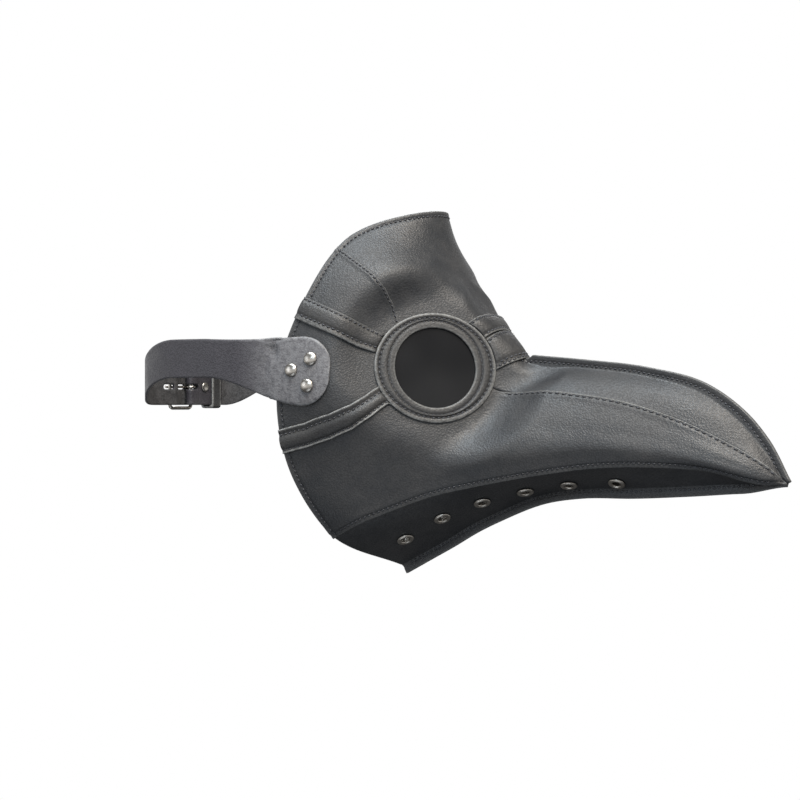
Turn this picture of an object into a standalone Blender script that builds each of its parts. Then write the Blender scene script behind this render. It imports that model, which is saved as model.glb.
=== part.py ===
"""Plague doctor mask: beaked face mask in stitched black leather, worn on a buckled head strap.

Metres, +Z up. The origin is the middle of the wearer's head at eye height. +X runs forward along the
beak, +Y is the wearer's left, and the mask is symmetric in Y except for the buckle, which closes the
strap behind the left ear.

The leather lies on one master surface, point(u, v): u runs from the beak's tip (0) over its root
(BEAK_ROOT) to the mask's back edge (1), and v runs down the right side over seven long lines, from the
middle of the top (0) to the middle of the chin (6). Sizes below are in millimetres.
"""
import math

import bpy
import numpy as np
from mathutils import Matrix, Vector

MM = 0.001
OBJECT_NAME = "plague_doctor_mask"

# --- leather and hardware sizes -------------------------------------------------------------------
LEATHER = 1.5                # thickness of the main panels
BAND = 1.2                   # thickness of the sewn-on bands
STRAP = 1.6                  # thickness of the straps
SEAM_INSET = 1.2             # how far a panel's edge stays back from a ridge
SEAM_GAP = 0.5               # clear width of a seam between panels
LAY = 0.70                   # air left under a band or a tab that lies on curved leather
FOLD_GAP = 0.15              # half the gap between the two leaves of a middle flange
TOP_FLANGE = 4.0             # height of the sewn flange along the beak's top
CHIN_FLANGE = 4.5            # height of the sewn flange along the chin
TOP_FLANGE_TIP = 1.8         # both flanges taper to these heights at the beak's tip
CHIN_FLANGE_TIP = 0.9
FLANGE_TAPER_U = 0.085       # where the taper begins, as u

# --- the eye openings -----------------------------------------------------------------------------
EYE = np.array([107.8, -37.6, 0.0])          # middle of the right eye opening
EYE_TURN = math.radians(38)
EYE_TILT = math.radians(12)
EYE_ALONG = np.array([math.cos(EYE_TURN), math.sin(EYE_TURN), 0.0])
EYE_OUT = np.array([
    math.sin(EYE_TURN) * math.cos(EYE_TILT),
    -math.cos(EYE_TURN) * math.cos(EYE_TILT),
    math.sin(EYE_TILT),
])
EYE_UP = np.cross(EYE_OUT, EYE_ALONG)
FLAT_RADIUS = 37.0           # the leather is flat this far out from the eye's middle
FLAT_BLEND = 62.0            # and takes its own curve again from here
VIEW_RADIUS = 23.3           # visible radius of the lens
HOLE_RADIUS = 28.0           # opening in the panels, under the ring
RING_LENGTH = 35.3           # ring's outer half length, along the face
RING_HEIGHT = 32.0           # ring's outer half height
RING_LAY = 0.3
RING_THICK = 1.5
LENS_RADIUS = 26.5
LENS_THICK = 1.5
RETAINER_RADIUS = 30.2

# --- the long lines: points on the beak, then points on the face ------------------------------------
BEAK_ROOT = 0.55
TIP = (306, 0, -65)


def eye_point(along, up):
    """A point of the eye's plane."""
    return tuple(EYE + along * EYE_ALONG + up * EYE_UP)


LINES = (
    ("top",
     [TIP, (296, 0, -49.5), (279, 0, -28.5), (256, 0, -12.5), (222, 0, -3.5), (184, 0, 1), (150, 0, 4)],
     [(138, 0, 16.5), (122.5, 0, 33), (109.5, 0, 52), (100, 0, 73), (95, 0, 92)]),
    ("temple",
     [TIP, (147, -12, -3)],
     [eye_point(24, 22), eye_point(4, 36), (91, -49, 50), (73, -50, 64), (56, -47, 75)]),
    ("crease",
     [TIP, (294, -6, -55), (272, -10, -42), (246, -13.5, -30), (214, -17, -20), (178, -20.5, -14.5),
      (139.6, -22.3, -11)],
     [eye_point(18, -5), eye_point(-5, 2), eye_point(-30, 12), (62, -70, 26), (40.5, -71, 38)]),
    ("cheek",
     [TIP, (292, -8.5, -58.5), (268, -15, -48.5), (240, -19, -40), (205, -25, -34), (170, -31, -31),
      (136, -38.5, -31)],
     [eye_point(2, -36), eye_point(-30, -26), (60, -77, -14), (28, -78, -3)]),
    ("jaw",
     [TIP, (291, -8.7, -61), (266, -16, -54), (238, -21.5, -48.5), (205, -28, -46), (172, -35.5, -48),
      (134, -43, -52)],
     [(112, -46.5, -56), (85, -57, -58), (58, -66, -58), (31, -72.5, -55)]),
    ("seam",
     [TIP, (290, -8, -62.2), (262, -14.5, -55.5), (236, -19.6, -53.3), (205, -25, -53.6),
      (171, -32, -57.8), (136, -38, -64.2)],
     [(107.9, -44, -70.7), (85.8, -50, -79), (66, -54, -87), (47.5, -51, -96)]),
    ("bottom",
     [TIP, (280, 0, -65.5), (250, 0, -67.5), (215, 0, -69.3), (183, 0, -69.8), (160, 0, -73),
      (130, 0, -84)],
     [(115, 0, -91), (100, 0, -99.5), (84, 0, -108), (69, 0, -116)]),
)
CREASE_V = 2.0
SEAM_V = 5.0
CHIN_V = 6.0
# How sharply the leather turns at a line: at the tip, the root, just behind it and the back edge.
SHARP_AT = (0.0, BEAK_ROOT, BEAK_ROOT + 0.12, 1.0)
SHARPNESS = {2: (1.0, 0.75, 0.0, 0.0), 5: (0.85, 0.75, 0.45, 0.15)}
LINE_STEPS = 24
BACK_COLUMNS = 12             # grid columns from the eye to the back edge
BEAK_COLUMNS = 19             # and along the beak
BEAK_START = 0.022           # the panels start here, just behind the beak's point

# --- seams of the face, as (u, v) -------------------------------------------------------------------
TEMPLE_SEAM = [(0.80, 1.52), (0.83, 1.35), (0.86, 1.26), (0.90, 1.21), (1.0, 1.20)]
BROW_TOP = [(0.80, 1.77), (0.85, 1.82), (0.90, 1.86), (0.95, 1.90), (1.0, 1.94)]
BROW_BOTTOM = [(0.81, 2.11), (0.85, 2.17), (0.90, 2.19), (0.95, 2.22), (1.0, 2.25)]
CHEEK_TOP = [(0.77, 2.62), (0.80, 2.87), (0.83, 3.06), (0.87, 3.25), (0.93, 3.45), (1.0, 3.61)]
CHEEK_BOTTOM = [(0.75, 2.89), (0.78, 3.13), (0.82, 3.38), (0.87, 3.57), (0.93, 3.73), (1.0, 3.87)]
UPPER_BRIDGE_U = (0.656, 0.708)              # lower and upper edge of each bridge band
LOWER_BRIDGE_U = (0.573, 0.644)
# Where the seams meet the eye opening, as angles in the eye's plane, in degrees.
TEMPLE_ANGLE = 124
BROW_ANGLE = 155
CHEEK_ANGLE = -148
FRONT_ANGLE = -17
BROW_ON_RING = (144, 164)
CHEEK_ON_RING = (-160, -140)
UPPER_BRIDGE_ON_RING = (33, 55)
LOWER_BRIDGE_ON_RING = (0, 28)

# --- eyelets and rivets -----------------------------------------------------------------------------
EYELETS = [(0.865, 5.58), (0.718, 5.52), (0.576, 5.52), (0.482, 5.62), (0.400, 5.68), (0.311, 5.70)]
EYELET_BORE = 2.4
EYELET_BARREL = 2.9
EYELET_HOLE = 3.3
EYELET_RIM = 5.0
STRAP_RIVETS = [(38.2, -1.3), (49.9, 4.9), (48.6, -10.0)]       # x and z on the tab
RIVET_CAP = 3.9
RIVET_POST = 1.5
RIVET_HOLE = 1.9

# --- the straps -------------------------------------------------------------------------------------
TAB_END = 61.3               # x of the tab's round end
TAB_HALF = 19.8
STRAP_HALF = 11.25
TAB_RISE = -1.8              # height of the tab's middle
SIDE_RISE = 6.0              # height of the strap's middle beside the head
BACK_RISE = -10.0            # and behind it
HEAD_ROUTE = [(28, 78.8), (0, 78.2), (-25, 75.3), (-50, 67.3)]    # x and distance from the middle
RIGHT_ROUTE = [(-72, -53.5), (-88, -34.5)]
LEFT_ROUTE = [(-69, 60.5)]
BUCKLE_START = np.array([-98.5, -8.0])       # the straight run that carries the buckle
BUCKLE_END = np.array([-84.0, 52.0])
BUCKLE_ALONG = (BUCKLE_END - BUCKLE_START) / np.linalg.norm(BUCKLE_END - BUCKLE_START)
BUCKLE_OUT = np.array([-BUCKLE_ALONG[1], BUCKLE_ALONG[0]])
BAR_AT = 31.0                # along the straight run
TIP_BAR_AT = 15.0
TIP_BAR_OUT = 2.2
BAR_RADIUS = 1.1
FRAME_HALF = 13.1
FRAME_CORNER = 2.2
FOLD_RADIUS = 2.2            # middle of the leather where it folds round the bar
FOLD_LAYER = 1.0             # middle of each leaf from the run's line, past the fold
FOLD_END = 57.0
TONGUE_OUT = 4.2             # middle of the tongue from the run's line, where it lies on top
TONGUE_END = 60.0
PRONG_RADIUS = 0.8
PRONG_LOOP = 2.2
PRONG_WIDTH = 3.0            # width of the slot that the prong works in
HOLE_PITCH = 13.0
HOLE_LENGTH = 9.4
HOLE_WIDTH = 3.0
USED_HOLE_AT = 24.4
FOLD_RIVET_AT = 41.5
KEEPER_AT = 50.5
KEEPER_WIDTH = 7.0
KEEPER_WALL = 1.3


# ====================================================================================================
# Curves and the master surface
# ====================================================================================================
def smooth(x, low, high):
    """0 below low, 1 above high, and an even curve between."""
    t = np.clip((np.asarray(x, float) - low) / (high - low), 0, 1)
    return t * t * (3 - 2 * t)


def hermite(start, end, leave, arrive, t):
    t = np.asarray(t, float)[..., None]
    return ((2 * t**3 - 3 * t**2 + 1) * start + (t**3 - 2 * t**2 + t) * leave
            + (-2 * t**3 + 3 * t**2) * end + (t**3 - t**2) * arrive)


def curve_through(points, steps=LINE_STEPS):
    """A smooth curve through the points, as a dense polyline."""
    points = np.array(points, float)
    length = np.linalg.norm(np.diff(points, axis=0), axis=1)[:, None]
    chord = np.diff(points, axis=0) / length
    tangent = np.concatenate([chord[:1], chord, chord[-1:]])[:len(points)]
    tangent[1:-1] = (length[:-1] * chord[1:] + length[1:] * chord[:-1]) / (length[:-1] + length[1:])
    tangent[-1] = chord[-1]
    t = np.linspace(0, 1, steps + 1)[1:]
    pieces = [points[:1]]
    for i in range(len(points) - 1):
        pieces.append(hermite(points[i], points[i + 1], tangent[i] * length[i],
                              tangent[i + 1] * length[i], t))
    return np.concatenate(pieces)


def along(line, fraction):
    """Points at fractions of a polyline's length."""
    distance = np.concatenate([[0], np.cumsum(np.linalg.norm(np.diff(line, axis=0), axis=1))])
    distance /= distance[-1]
    return np.stack([np.interp(fraction, distance, line[:, k]) for k in range(line.shape[1])], -1)


def long_lines():
    """Each line as two dense polylines, the beak's part and the face's part."""
    lines = []
    for name, beak, face in LINES:
        if name == "top":
            lines.append((curve_through(beak), curve_through(beak[-1:] + face)))
        else:
            whole = curve_through(beak + face)
            split = (len(beak) - 1) * LINE_STEPS
            lines.append((whole[:split + 1], whole[split:]))
    return lines


DENSE = long_lines()


def line_points(index, u):
    beak, face = DENSE[index]
    on_beak = along(beak, np.clip(u / BEAK_ROOT, 0, 1))
    on_face = along(face, np.clip((u - BEAK_ROOT) / (1 - BEAK_ROOT), 0, 1))
    return np.where((u <= BEAK_ROOT)[:, None], on_beak, on_face)


def cross_lines(u):
    """The seven lines' points at each u. On the beak the second line is a slightly crowned middle."""
    lines = np.stack([line_points(i, u) for i in range(len(LINES))])
    crown = np.array([0, -1.2, 0.7]) * smooth(u, 0, 0.25)[:, None]
    middle = 0.5 * (lines[0] + lines[2]) + crown
    own = smooth(u, BEAK_ROOT - 0.10, BEAK_ROOT)[:, None]
    lines[1] = middle * (1 - own) + lines[1] * own
    return lines


def flattened(points):
    """Presses the leather flat round the eye, but not across the bridge."""
    offset = points - EYE
    height = offset @ EYE_OUT
    reach = np.hypot(offset @ EYE_ALONG, offset @ EYE_UP)
    keep = smooth(reach, FLAT_RADIUS, FLAT_BLEND)
    keep = np.maximum(keep, 1 - smooth(np.abs(points[:, 1]), 3, 19))
    keep = np.where(np.abs(height) > 30, 1.0, keep)
    return points - ((1 - keep) * height)[:, None] * EYE_OUT


def point(u, v):
    """Points of the right half of the master surface."""
    u = np.asarray(u, float).ravel()
    v = np.asarray(v, float).ravel()
    lines = cross_lines(u)
    length = np.linalg.norm(np.diff(lines, axis=0), axis=2)[..., None] + 1e-9
    chord = np.diff(lines, axis=0) / length
    arrive = np.empty_like(lines)
    leave = np.empty_like(lines)
    seamed = 1 - smooth(u, BEAK_ROOT - 0.01, BEAK_ROOT + 0.06)[:, None]
    leave[0] = np.array([0, -1, 0]) * (1 - seamed) + chord[0] * seamed
    arrive[-1] = chord[-1]
    for i in range(1, len(LINES) - 1):
        even = (length[i] * chord[i - 1] + length[i - 1] * chord[i]) / (length[i - 1] + length[i])
        sharp = np.interp(u, SHARP_AT, SHARPNESS.get(i, (0, 0, 0, 0)))[:, None]
        arrive[i] = even * (1 - sharp) + chord[i - 1] * sharp
        leave[i] = even * (1 - sharp) + chord[i] * sharp
    span = np.clip(v.astype(int), 0, len(LINES) - 2)
    column = np.arange(len(u))
    reach = length[span, column]
    found = hermite(lines[span, column], lines[span + 1, column], leave[span, column] * reach,
                    arrive[span + 1, column] * reach, v - span)
    return flattened(found)


SEED_U, SEED_V = (grid.ravel() for grid in np.meshgrid(np.linspace(0.5, 0.995, 100), np.linspace(0.8, 4, 65)))
SEEDS = point(SEED_U, SEED_V)


def locate(first, second, targets):
    """The (u, v) whose points have the given coordinates along two directions, by Newton's method."""
    axes = np.stack([first, second], 1)
    targets = np.array(targets, float)
    apart = ((SEEDS @ axes)[None] - targets[:, None])
    nearest = np.argmin((apart**2).sum(-1), axis=1)
    u, v = SEED_U[nearest].copy(), SEED_V[nearest].copy()
    step = 1e-4
    for _ in range(12):
        here = point(u, v) @ axes
        by_u = (point(u + step, v) @ axes - here) / step
        by_v = (point(u, v + step) @ axes - here) / step
        miss = targets - here
        area = by_u[:, 0] * by_v[:, 1] - by_u[:, 1] * by_v[:, 0]
        u += np.clip((miss[:, 0] * by_v[:, 1] - miss[:, 1] * by_v[:, 0]) / area, -0.05, 0.05)
        v += np.clip((by_u[:, 0] * miss[:, 1] - by_u[:, 1] * miss[:, 0]) / area, -0.3, 0.3)
        u = np.clip(u, 0.5, 1.0 - 2 * step)
        v = np.clip(v, 0.5, 4.5)
    return np.stack([u, v], 1)


def on_eye(half_length, half_height, start, end, count):
    """(u, v) along an arc round the eye, from one angle to another in degrees."""
    angle = np.radians(np.linspace(start, end, count))
    return locate(EYE_ALONG, EYE_UP, np.stack([half_length * np.cos(angle), half_height * np.sin(angle)], 1)
                  + np.array([EYE @ EYE_ALONG, EYE @ EYE_UP]))


def width_at(u, v):
    """Millimetres per unit of v."""
    step = 0.01
    return np.linalg.norm(point(u, v + step) - point(u, v), axis=1) / step


# ====================================================================================================
# Patches
# ====================================================================================================
def seam_line(seam, count, start=None, shift=0.0):
    """(u, v) along a seam, optionally from another first point, moved sideways by shift mm."""
    seam = np.array(seam, float)
    u = np.linspace(seam[0, 0] if start is None else start[0], 1.0, count)
    v = np.interp(u, seam[:, 0], seam[:, 1])
    v = v + shift / width_at(u, v)
    line = np.stack([u, v], 1)
    if start is not None:
        ease = (1 - smooth(u, u[0], u[0] + 0.05))[:, None]
        line = line + (np.asarray(start) - line[0]) * ease
    return line


def straight(start, end, count):
    return np.linspace(np.asarray(start, float), np.asarray(end, float), count)


def four_sided(top, bottom, front, back):
    """A grid of (u, v) that fits four edges. Top and bottom run front to back."""
    rows, columns = len(front), len(top)
    s = np.linspace(0, 1, columns)[None, :, None]
    t = np.linspace(0, 1, rows)[:, None, None]
    corners = ((1 - s) * (1 - t) * top[0] + s * (1 - t) * top[-1]
               + (1 - s) * t * bottom[0] + s * t * bottom[-1])
    return ((1 - t) * top[None] + t * bottom[None] + (1 - s) * front[:, None] + s * back[:, None] - corners)


def columns_between(top, bottom, rows):
    """A grid of (u, v) from two edges with the same u."""
    t = np.linspace(0, 1, rows)[:, None, None]
    return (1 - t) * top[None] + t * bottom[None]


def surface_grid(uv):
    return point(uv[..., 0], uv[..., 1]).reshape(uv.shape[:2] + (3,))


def grid_normals(points):
    """Outward normals of a grid whose rows run front to back and follow each other downward."""
    normal = np.cross(np.gradient(points, axis=1), np.gradient(points, axis=0))
    return normal / (np.linalg.norm(normal, axis=-1, keepdims=True) + 1e-12)


def lifted(points, height):
    return points + grid_normals(points) * height


def both_sides(points):
    """A right-side grid whose first row lies on the middle, carried over to the left."""
    return np.concatenate([points[:0:-1] * np.array([1, -1, 1]), points])


# ====================================================================================================
# Blender helpers
# ====================================================================================================
def clear_scene():
    for thing in list(bpy.data.objects):
        bpy.data.objects.remove(thing, do_unlink=True)


def new_collection(name):
    made = bpy.data.collections.new(name)
    bpy.context.scene.collection.children.link(made)
    return made


def material(name, colour, roughness, metallic=0.0):
    made = bpy.data.materials.new(name)
    made.use_nodes = True
    shader = made.node_tree.nodes["Principled BSDF"]
    shader.inputs["Base Color"].default_value = (*colour, 1)
    shader.inputs["Roughness"].default_value = roughness
    shader.inputs["Metallic"].default_value = metallic
    return made


def mesh_object(name, collection, vertices, faces, skin):
    mesh = bpy.data.meshes.new(name)
    mesh.from_pydata([tuple(vertex) for vertex in vertices], [], faces)
    made = bpy.data.objects.new(name, mesh)
    collection.objects.link(made)
    made.data.materials.append(skin)
    return made


def sheet(name, collection, points, skin, thickness, offset=-1.0, closed=False):
    """A grid of points, in mm, as an open surface with Solidify."""
    rows, columns = points.shape[:2]
    faces = []
    for i in range(rows if closed else rows - 1):
        for j in range(columns - 1):
            below = (i + 1) % rows
            faces.append((i * columns + j, i * columns + j + 1, below * columns + j + 1, below * columns + j))
    made = mesh_object(name, collection, points.reshape(-1, 3) * MM, faces, skin)
    thick = made.modifiers.new("thickness", "SOLIDIFY")
    thick.thickness = thickness * MM
    thick.offset = offset
    thick.use_even_offset = True
    thick.thickness_clamp = 0
    return made


def on_side(points, side):
    """The grid for the right side (-1) or mirrored to the left (+1), still facing outward."""
    if side < 0:
        return points
    return (points * np.array([1, -1, 1]))[::-1]


def place(made, at, out, turn=0.0):
    """Puts an object's origin at a point in mm with its local Z along a direction."""
    rotation = Vector(out).to_track_quat("Z", "Y").to_matrix().to_4x4()
    made.matrix_world = (Matrix.Translation(Vector(at) * MM) @ rotation @ Matrix.Rotation(turn, 4, "Z"))


def turned(name, collection, profile, skin, steps, flip=False):
    """A profile of (radius, height) in mm, turned round local Z."""
    edges = [(i, i + 1) for i in range(len(profile) - 1)]
    if profile[0][0] > 0:
        edges.append((len(profile) - 1, 0))
    mesh = bpy.data.meshes.new(name)
    mesh.from_pydata([(radius * MM, 0, height * MM) for radius, height in profile], edges, [])
    made = bpy.data.objects.new(name, mesh)
    collection.objects.link(made)
    mesh.materials.append(skin)
    screw = made.modifiers.new("turn", "SCREW")
    screw.steps = steps
    screw.render_steps = steps
    screw.use_merge_vertices = True
    screw.merge_threshold = 1e-5
    screw.use_normal_calculate = True
    screw.use_normal_flip = flip
    return made


def cut(target, cutters):
    for cutter in cutters:
        trim = target.modifiers.new("cut", "BOOLEAN")
        trim.operation = "DIFFERENCE"
        trim.solver = "MANIFOLD"
        trim.object = cutter


def cutter_look(made):
    made.hide_render = True
    made.display_type = "WIRE"
    return made


def round_cutter(name, collection, at, out, radius, depth):
    bpy.ops.mesh.primitive_cylinder_add(vertices=16, radius=radius * MM, depth=depth * MM)
    made = bpy.context.active_object
    made.name = name
    collect(made, collection)
    place(made, at, out)
    return cutter_look(made)


def box(name, collection, size, at, turn):
    """A box of a size in mm, turned round Z."""
    bpy.ops.mesh.primitive_cube_add(size=1)
    made = bpy.context.active_object
    made.name = name
    made.data.transform(Matrix.Diagonal((*(Vector(size) * MM), 1)))
    made.matrix_world = Matrix.Translation(Vector(at) * MM) @ Matrix.Rotation(turn, 4, "Z")
    collect(made, collection)
    return made


def collect(made, collection):
    for old in list(made.users_collection):
        old.objects.unlink(made)
    collection.objects.link(made)


def tube(name, collection, route, radius, skin, cyclic=False):
    """A wire along a route in mm, with its origin at the first point."""
    curve = bpy.data.curves.new(name, "CURVE")
    curve.dimensions = "3D"
    curve.bevel_depth = radius * MM
    curve.bevel_resolution = 2
    curve.use_fill_caps = not cyclic
    spline = curve.splines.new("POLY")
    spline.points.add(len(route) - 1)
    for spot, where in zip(spline.points, route):
        spot.co = (*(Vector(where) * MM), 1)
    spline.use_cyclic_u = cyclic
    made = bpy.data.objects.new(name, curve)
    collection.objects.link(made)
    curve.materials.append(skin)
    return made


# ====================================================================================================
# The face panels
# ====================================================================================================
def beak_us(end):
    return np.linspace(BEAK_START, end, BEAK_COLUMNS)


def flange_rows(edge, u, full_height, tip_height, outward):
    """Two rows of a flange that stands in the middle plane along an edge, outer row first."""
    height = (tip_height + (full_height - tip_height) * smooth(u, 0, FLANGE_TAPER_U))[:, None]
    run = np.gradient(edge, axis=0)
    rise = np.stack([run[:, 2], np.zeros(len(edge)), -run[:, 0]], 1)
    rise = rise / np.linalg.norm(rise, axis=1, keepdims=True) * outward
    side = np.array([0, -(LEATHER + FOLD_GAP), 0])
    return np.stack([edge + rise * height + side, edge + rise * height * 0.12 + side])


def clear_of_middle(points):
    """Keeps a panel's outer face far enough out that its inner face misses the other side's."""
    points = points.copy()
    points[..., 1] = np.minimum(points[..., 1], -(LEATHER + FOLD_GAP))
    return points


def forehead_grid():
    """From the beak's root over the brow, across the middle, down to the eye and the temple seam."""
    arc = on_eye(HOLE_RADIUS, HOLE_RADIUS, FRONT_ANGLE, TEMPLE_ANGLE, 12)
    seam = seam_line(TEMPLE_SEAM, BACK_COLUMNS, start=arc[-1], shift=-SEAM_GAP / 2)
    low = [(BEAK_ROOT + 0.004, 1.97)]
    edge = np.concatenate([low, arc, seam[1:]])
    middle_u = np.concatenate([low[0][:1], np.linspace(low[0][0], arc[-1, 0], len(arc) + 1)[1:], seam[1:, 0]])
    middle = np.stack([middle_u, np.zeros(len(edge))], 1)
    return both_sides(surface_grid(columns_between(middle, edge, 9)))


def temple_grid():
    arc = on_eye(HOLE_RADIUS, HOLE_RADIUS, TEMPLE_ANGLE + 0.4, BROW_ANGLE - 0.4, 6)
    top = seam_line(TEMPLE_SEAM, BACK_COLUMNS, start=arc[0], shift=SEAM_GAP / 2)
    under_brow = (np.array(BROW_TOP) + np.array(BROW_BOTTOM)) / 2
    bottom = seam_line(under_brow, BACK_COLUMNS, start=arc[-1], shift=-SEAM_GAP / 2)
    return surface_grid(four_sided(top, bottom, arc, straight(top[-1], bottom[-1], len(arc))))


def cheek_grid():
    arc = on_eye(HOLE_RADIUS, HOLE_RADIUS, BROW_ANGLE + 0.4, CHEEK_ANGLE + 360 - 0.4, 9)
    under_brow = (np.array(BROW_TOP) + np.array(BROW_BOTTOM)) / 2
    under_band = (np.array(CHEEK_TOP) + np.array(CHEEK_BOTTOM)) / 2
    top = seam_line(under_brow, BACK_COLUMNS, start=arc[0], shift=SEAM_GAP / 2)
    bottom = seam_line(under_band, BACK_COLUMNS, start=arc[-1], shift=-SEAM_GAP / 2)
    return surface_grid(four_sided(top, bottom, arc, straight(top[-1], bottom[-1], len(arc))))


def side_grid():
    """One piece from the beak's tip along its side and the jaw to the back edge."""
    beak_u = beak_us(BEAK_ROOT)
    near = np.full(len(beak_u), CREASE_V)
    crease = np.stack([beak_u, CREASE_V + SEAM_INSET / width_at(beak_u, near)], 1)
    arc = on_eye(HOLE_RADIUS, HOLE_RADIUS, FRONT_ANGLE - 1, CHEEK_ANGLE, 12)
    under_band = (np.array(CHEEK_TOP) + np.array(CHEEK_BOTTOM)) / 2
    rear = seam_line(under_band, BACK_COLUMNS, start=arc[-1], shift=SEAM_GAP / 2)
    top = np.concatenate([crease, arc, rear[1:]])
    seam_u = np.concatenate([beak_u, np.linspace(BEAK_ROOT, arc[-1, 0], len(arc) + 1)[1:], rear[1:, 0]])
    near = np.full(len(top), SEAM_V - 0.02)
    bottom = np.stack([seam_u, SEAM_V - SEAM_INSET / width_at(seam_u, near)], 1)
    return clear_of_middle(surface_grid(columns_between(top, bottom, 9)))


def beak_top_grid():
    u = beak_us(BEAK_ROOT - 0.002)
    middle = np.stack([u, np.full(len(u), 0.06)], 1)
    near = np.full(len(u), CREASE_V - 0.02)
    crease = np.stack([u, CREASE_V - SEAM_INSET / width_at(u, near)], 1)
    skin = surface_grid(columns_between(middle, crease, 6))
    edge = point(u, np.zeros(len(u)))
    return clear_of_middle(np.concatenate([flange_rows(edge, u, TOP_FLANGE, TOP_FLANGE_TIP, 1), skin]))


def beak_lower_grid():
    u = np.concatenate([beak_us(BEAK_ROOT)[:-1], np.linspace(BEAK_ROOT, 1, 15)])
    seam = np.stack([u, SEAM_V + SEAM_INSET / width_at(u, np.full(len(u), SEAM_V))], 1)
    middle = np.stack([u, np.full(len(u), CHIN_V - 0.06)], 1)
    skin = surface_grid(columns_between(seam, middle, 5))
    edge = point(u, np.full(len(u), CHIN_V - 1e-6))
    flange = flange_rows(edge, u, CHIN_FLANGE, CHIN_FLANGE_TIP, -1)
    return clear_of_middle(np.concatenate([skin, flange[::-1]]))


# ====================================================================================================
# Bands
# ====================================================================================================
def ring_arc(angles, count, clear=0.5):
    return on_eye(RING_LENGTH + clear, RING_HEIGHT + clear, angles[0], angles[1], count)


def face_band_grid(top_seam, bottom_seam, angles):
    arc = ring_arc(angles, 4)
    top = seam_line(top_seam, 11, start=arc[0])
    bottom = seam_line(bottom_seam, 11, start=arc[-1])
    uv = four_sided(top, bottom, arc, straight(top[-1], bottom[-1], len(arc)))
    return lifted(surface_grid(uv), LAY)


def bridge_band_grid(edges, angles):
    """A strap of leather over the bridge, from one ring to the other."""
    arc = ring_arc(angles, 4)
    across = np.linspace(0, 1, 8)
    grid = []
    for share, end in zip(np.linspace(0, 1, len(arc)), arc):
        middle = (edges[0] * (1 - share) + edges[1] * share, 0.0)
        grid.append(np.array(middle) * (1 - across[:, None]) + end * across[:, None])
    return lifted(both_sides(surface_grid(np.array(grid).transpose(1, 0, 2))), LAY)


# ====================================================================================================
# Eye ring, lens and retainer
# ====================================================================================================
def eye_ring_grid(steps=40):
    """A flat ring, round inside and oval outside."""
    rows = []
    for share in (0, 0.5, 1):
        length = VIEW_RADIUS + share * (RING_LENGTH - VIEW_RADIUS)
        height = VIEW_RADIUS + share * (RING_HEIGHT - VIEW_RADIUS)
        angle = np.linspace(0, 2 * math.pi, steps, endpoint=False)
        rows.append(EYE + length * np.cos(angle)[:, None] * EYE_ALONG
                    + height * np.sin(angle)[:, None] * EYE_UP + RING_LAY * EYE_OUT)
    return np.array(rows).transpose(1, 0, 2)


def on_face_side(vector, side):
    return np.array([vector[0], vector[1] * -side, vector[2]])


def build_eye(collection, side, label, leather, dark, backing):
    centre = on_face_side(EYE, side)
    out = on_face_side(EYE_OUT, side)
    ring = eye_ring_grid()
    sheet("eye_ring_" + label, collection, on_side(ring, side), leather, RING_THICK, 1.0, closed=True)

    bpy.ops.mesh.primitive_cylinder_add(vertices=36, radius=LENS_RADIUS * MM, depth=LENS_THICK * MM)
    lens = bpy.context.active_object
    lens.name = "lens_" + label
    lens.data.materials.append(dark)
    collect(lens, collection)
    place(lens, centre - out * (LENS_THICK / 2 + 0.05), out)

    low, high = -3.3, -(LENS_THICK + 0.6)
    bore = VIEW_RADIUS + 0.7
    profile = [(RETAINER_RADIUS, low), (RETAINER_RADIUS, high), (bore, high), (bore, low)]
    keeper = turned("lens_retainer_" + label, collection, profile, backing, 36, flip=True)
    place(keeper, centre, out)


# ====================================================================================================
# Rivets and eyelets
# ====================================================================================================
def surface_frame(u, v, side):
    """A point of the surface and its outward direction."""
    step = 0.01
    corner = point([u - step, u + step, u, u], [v, v, v - step, v + step])
    out = np.cross(corner[1] - corner[0], corner[3] - corner[2])
    return on_face_side(point([u], [v])[0], side), on_face_side(out / np.linalg.norm(out), side)


def eyelet(name, collection, at, out, skin):
    """A barrel through the leather with a rolled rim in front and a turned edge behind."""
    back = -(LEATHER + 0.45)
    profile = [
        (EYELET_BORE, back - 0.7), (EYELET_BORE, 1.0), (EYELET_BORE + 0.8, 1.6), (EYELET_RIM - 0.3, 1.2),
        (EYELET_RIM, 0.55), (EYELET_BARREL, 0.55), (EYELET_BARREL, back), (4.3, back),
    ]
    place(turned(name, collection, profile, skin, 10, flip=True), at, out)


def rivet(name, collection, at, out, front, back, cap, dome, skin):
    """A domed cap in front, a post, and a flat cap behind; front and back are the leather's faces."""
    low, high = back - 0.3, front + 0.3
    profile = [
        (0, high + dome), (cap * 0.45, high + dome * 0.88), (cap * 0.8, high + dome * 0.55),
        (cap, high + dome * 0.15), (cap * 0.92, high), (RIVET_POST, high), (RIVET_POST, low),
        (cap * 0.92, low), (cap * 0.92, low - 0.7), (0, low - 0.9),
    ]
    place(turned(name, collection, profile, skin, 10), at, out)


# ====================================================================================================
# Straps and buckle
# ====================================================================================================
def run_point(distance, out):
    """A point of the straight run, in plan."""
    return BUCKLE_START + BUCKLE_ALONG * distance + BUCKLE_OUT * out


def tongue_out(distance):
    return TONGUE_OUT * smooth(distance, 16.5, 27.5)


def head_curve(side, turn_points, end_points):
    """Plan route from the tab's round end round the head. It follows the panel for x above the back edge."""
    tab = [(TAB_END, side * 76.4), (45, side * 78.4)]
    head = [(x, side * y) for x, y in HEAD_ROUTE]
    return curve_through(tab + head + turn_points + end_points, steps=12)


def right_route():
    run = [run_point(d, 0) for d in (0, 4, 9, 15)]
    rising = [run_point(d, tongue_out(d)) for d in (18, 20, 22, 24, 26, 28, 36, 48, TONGUE_END)]
    return head_curve(-1, RIGHT_ROUTE, run + rising)


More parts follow.
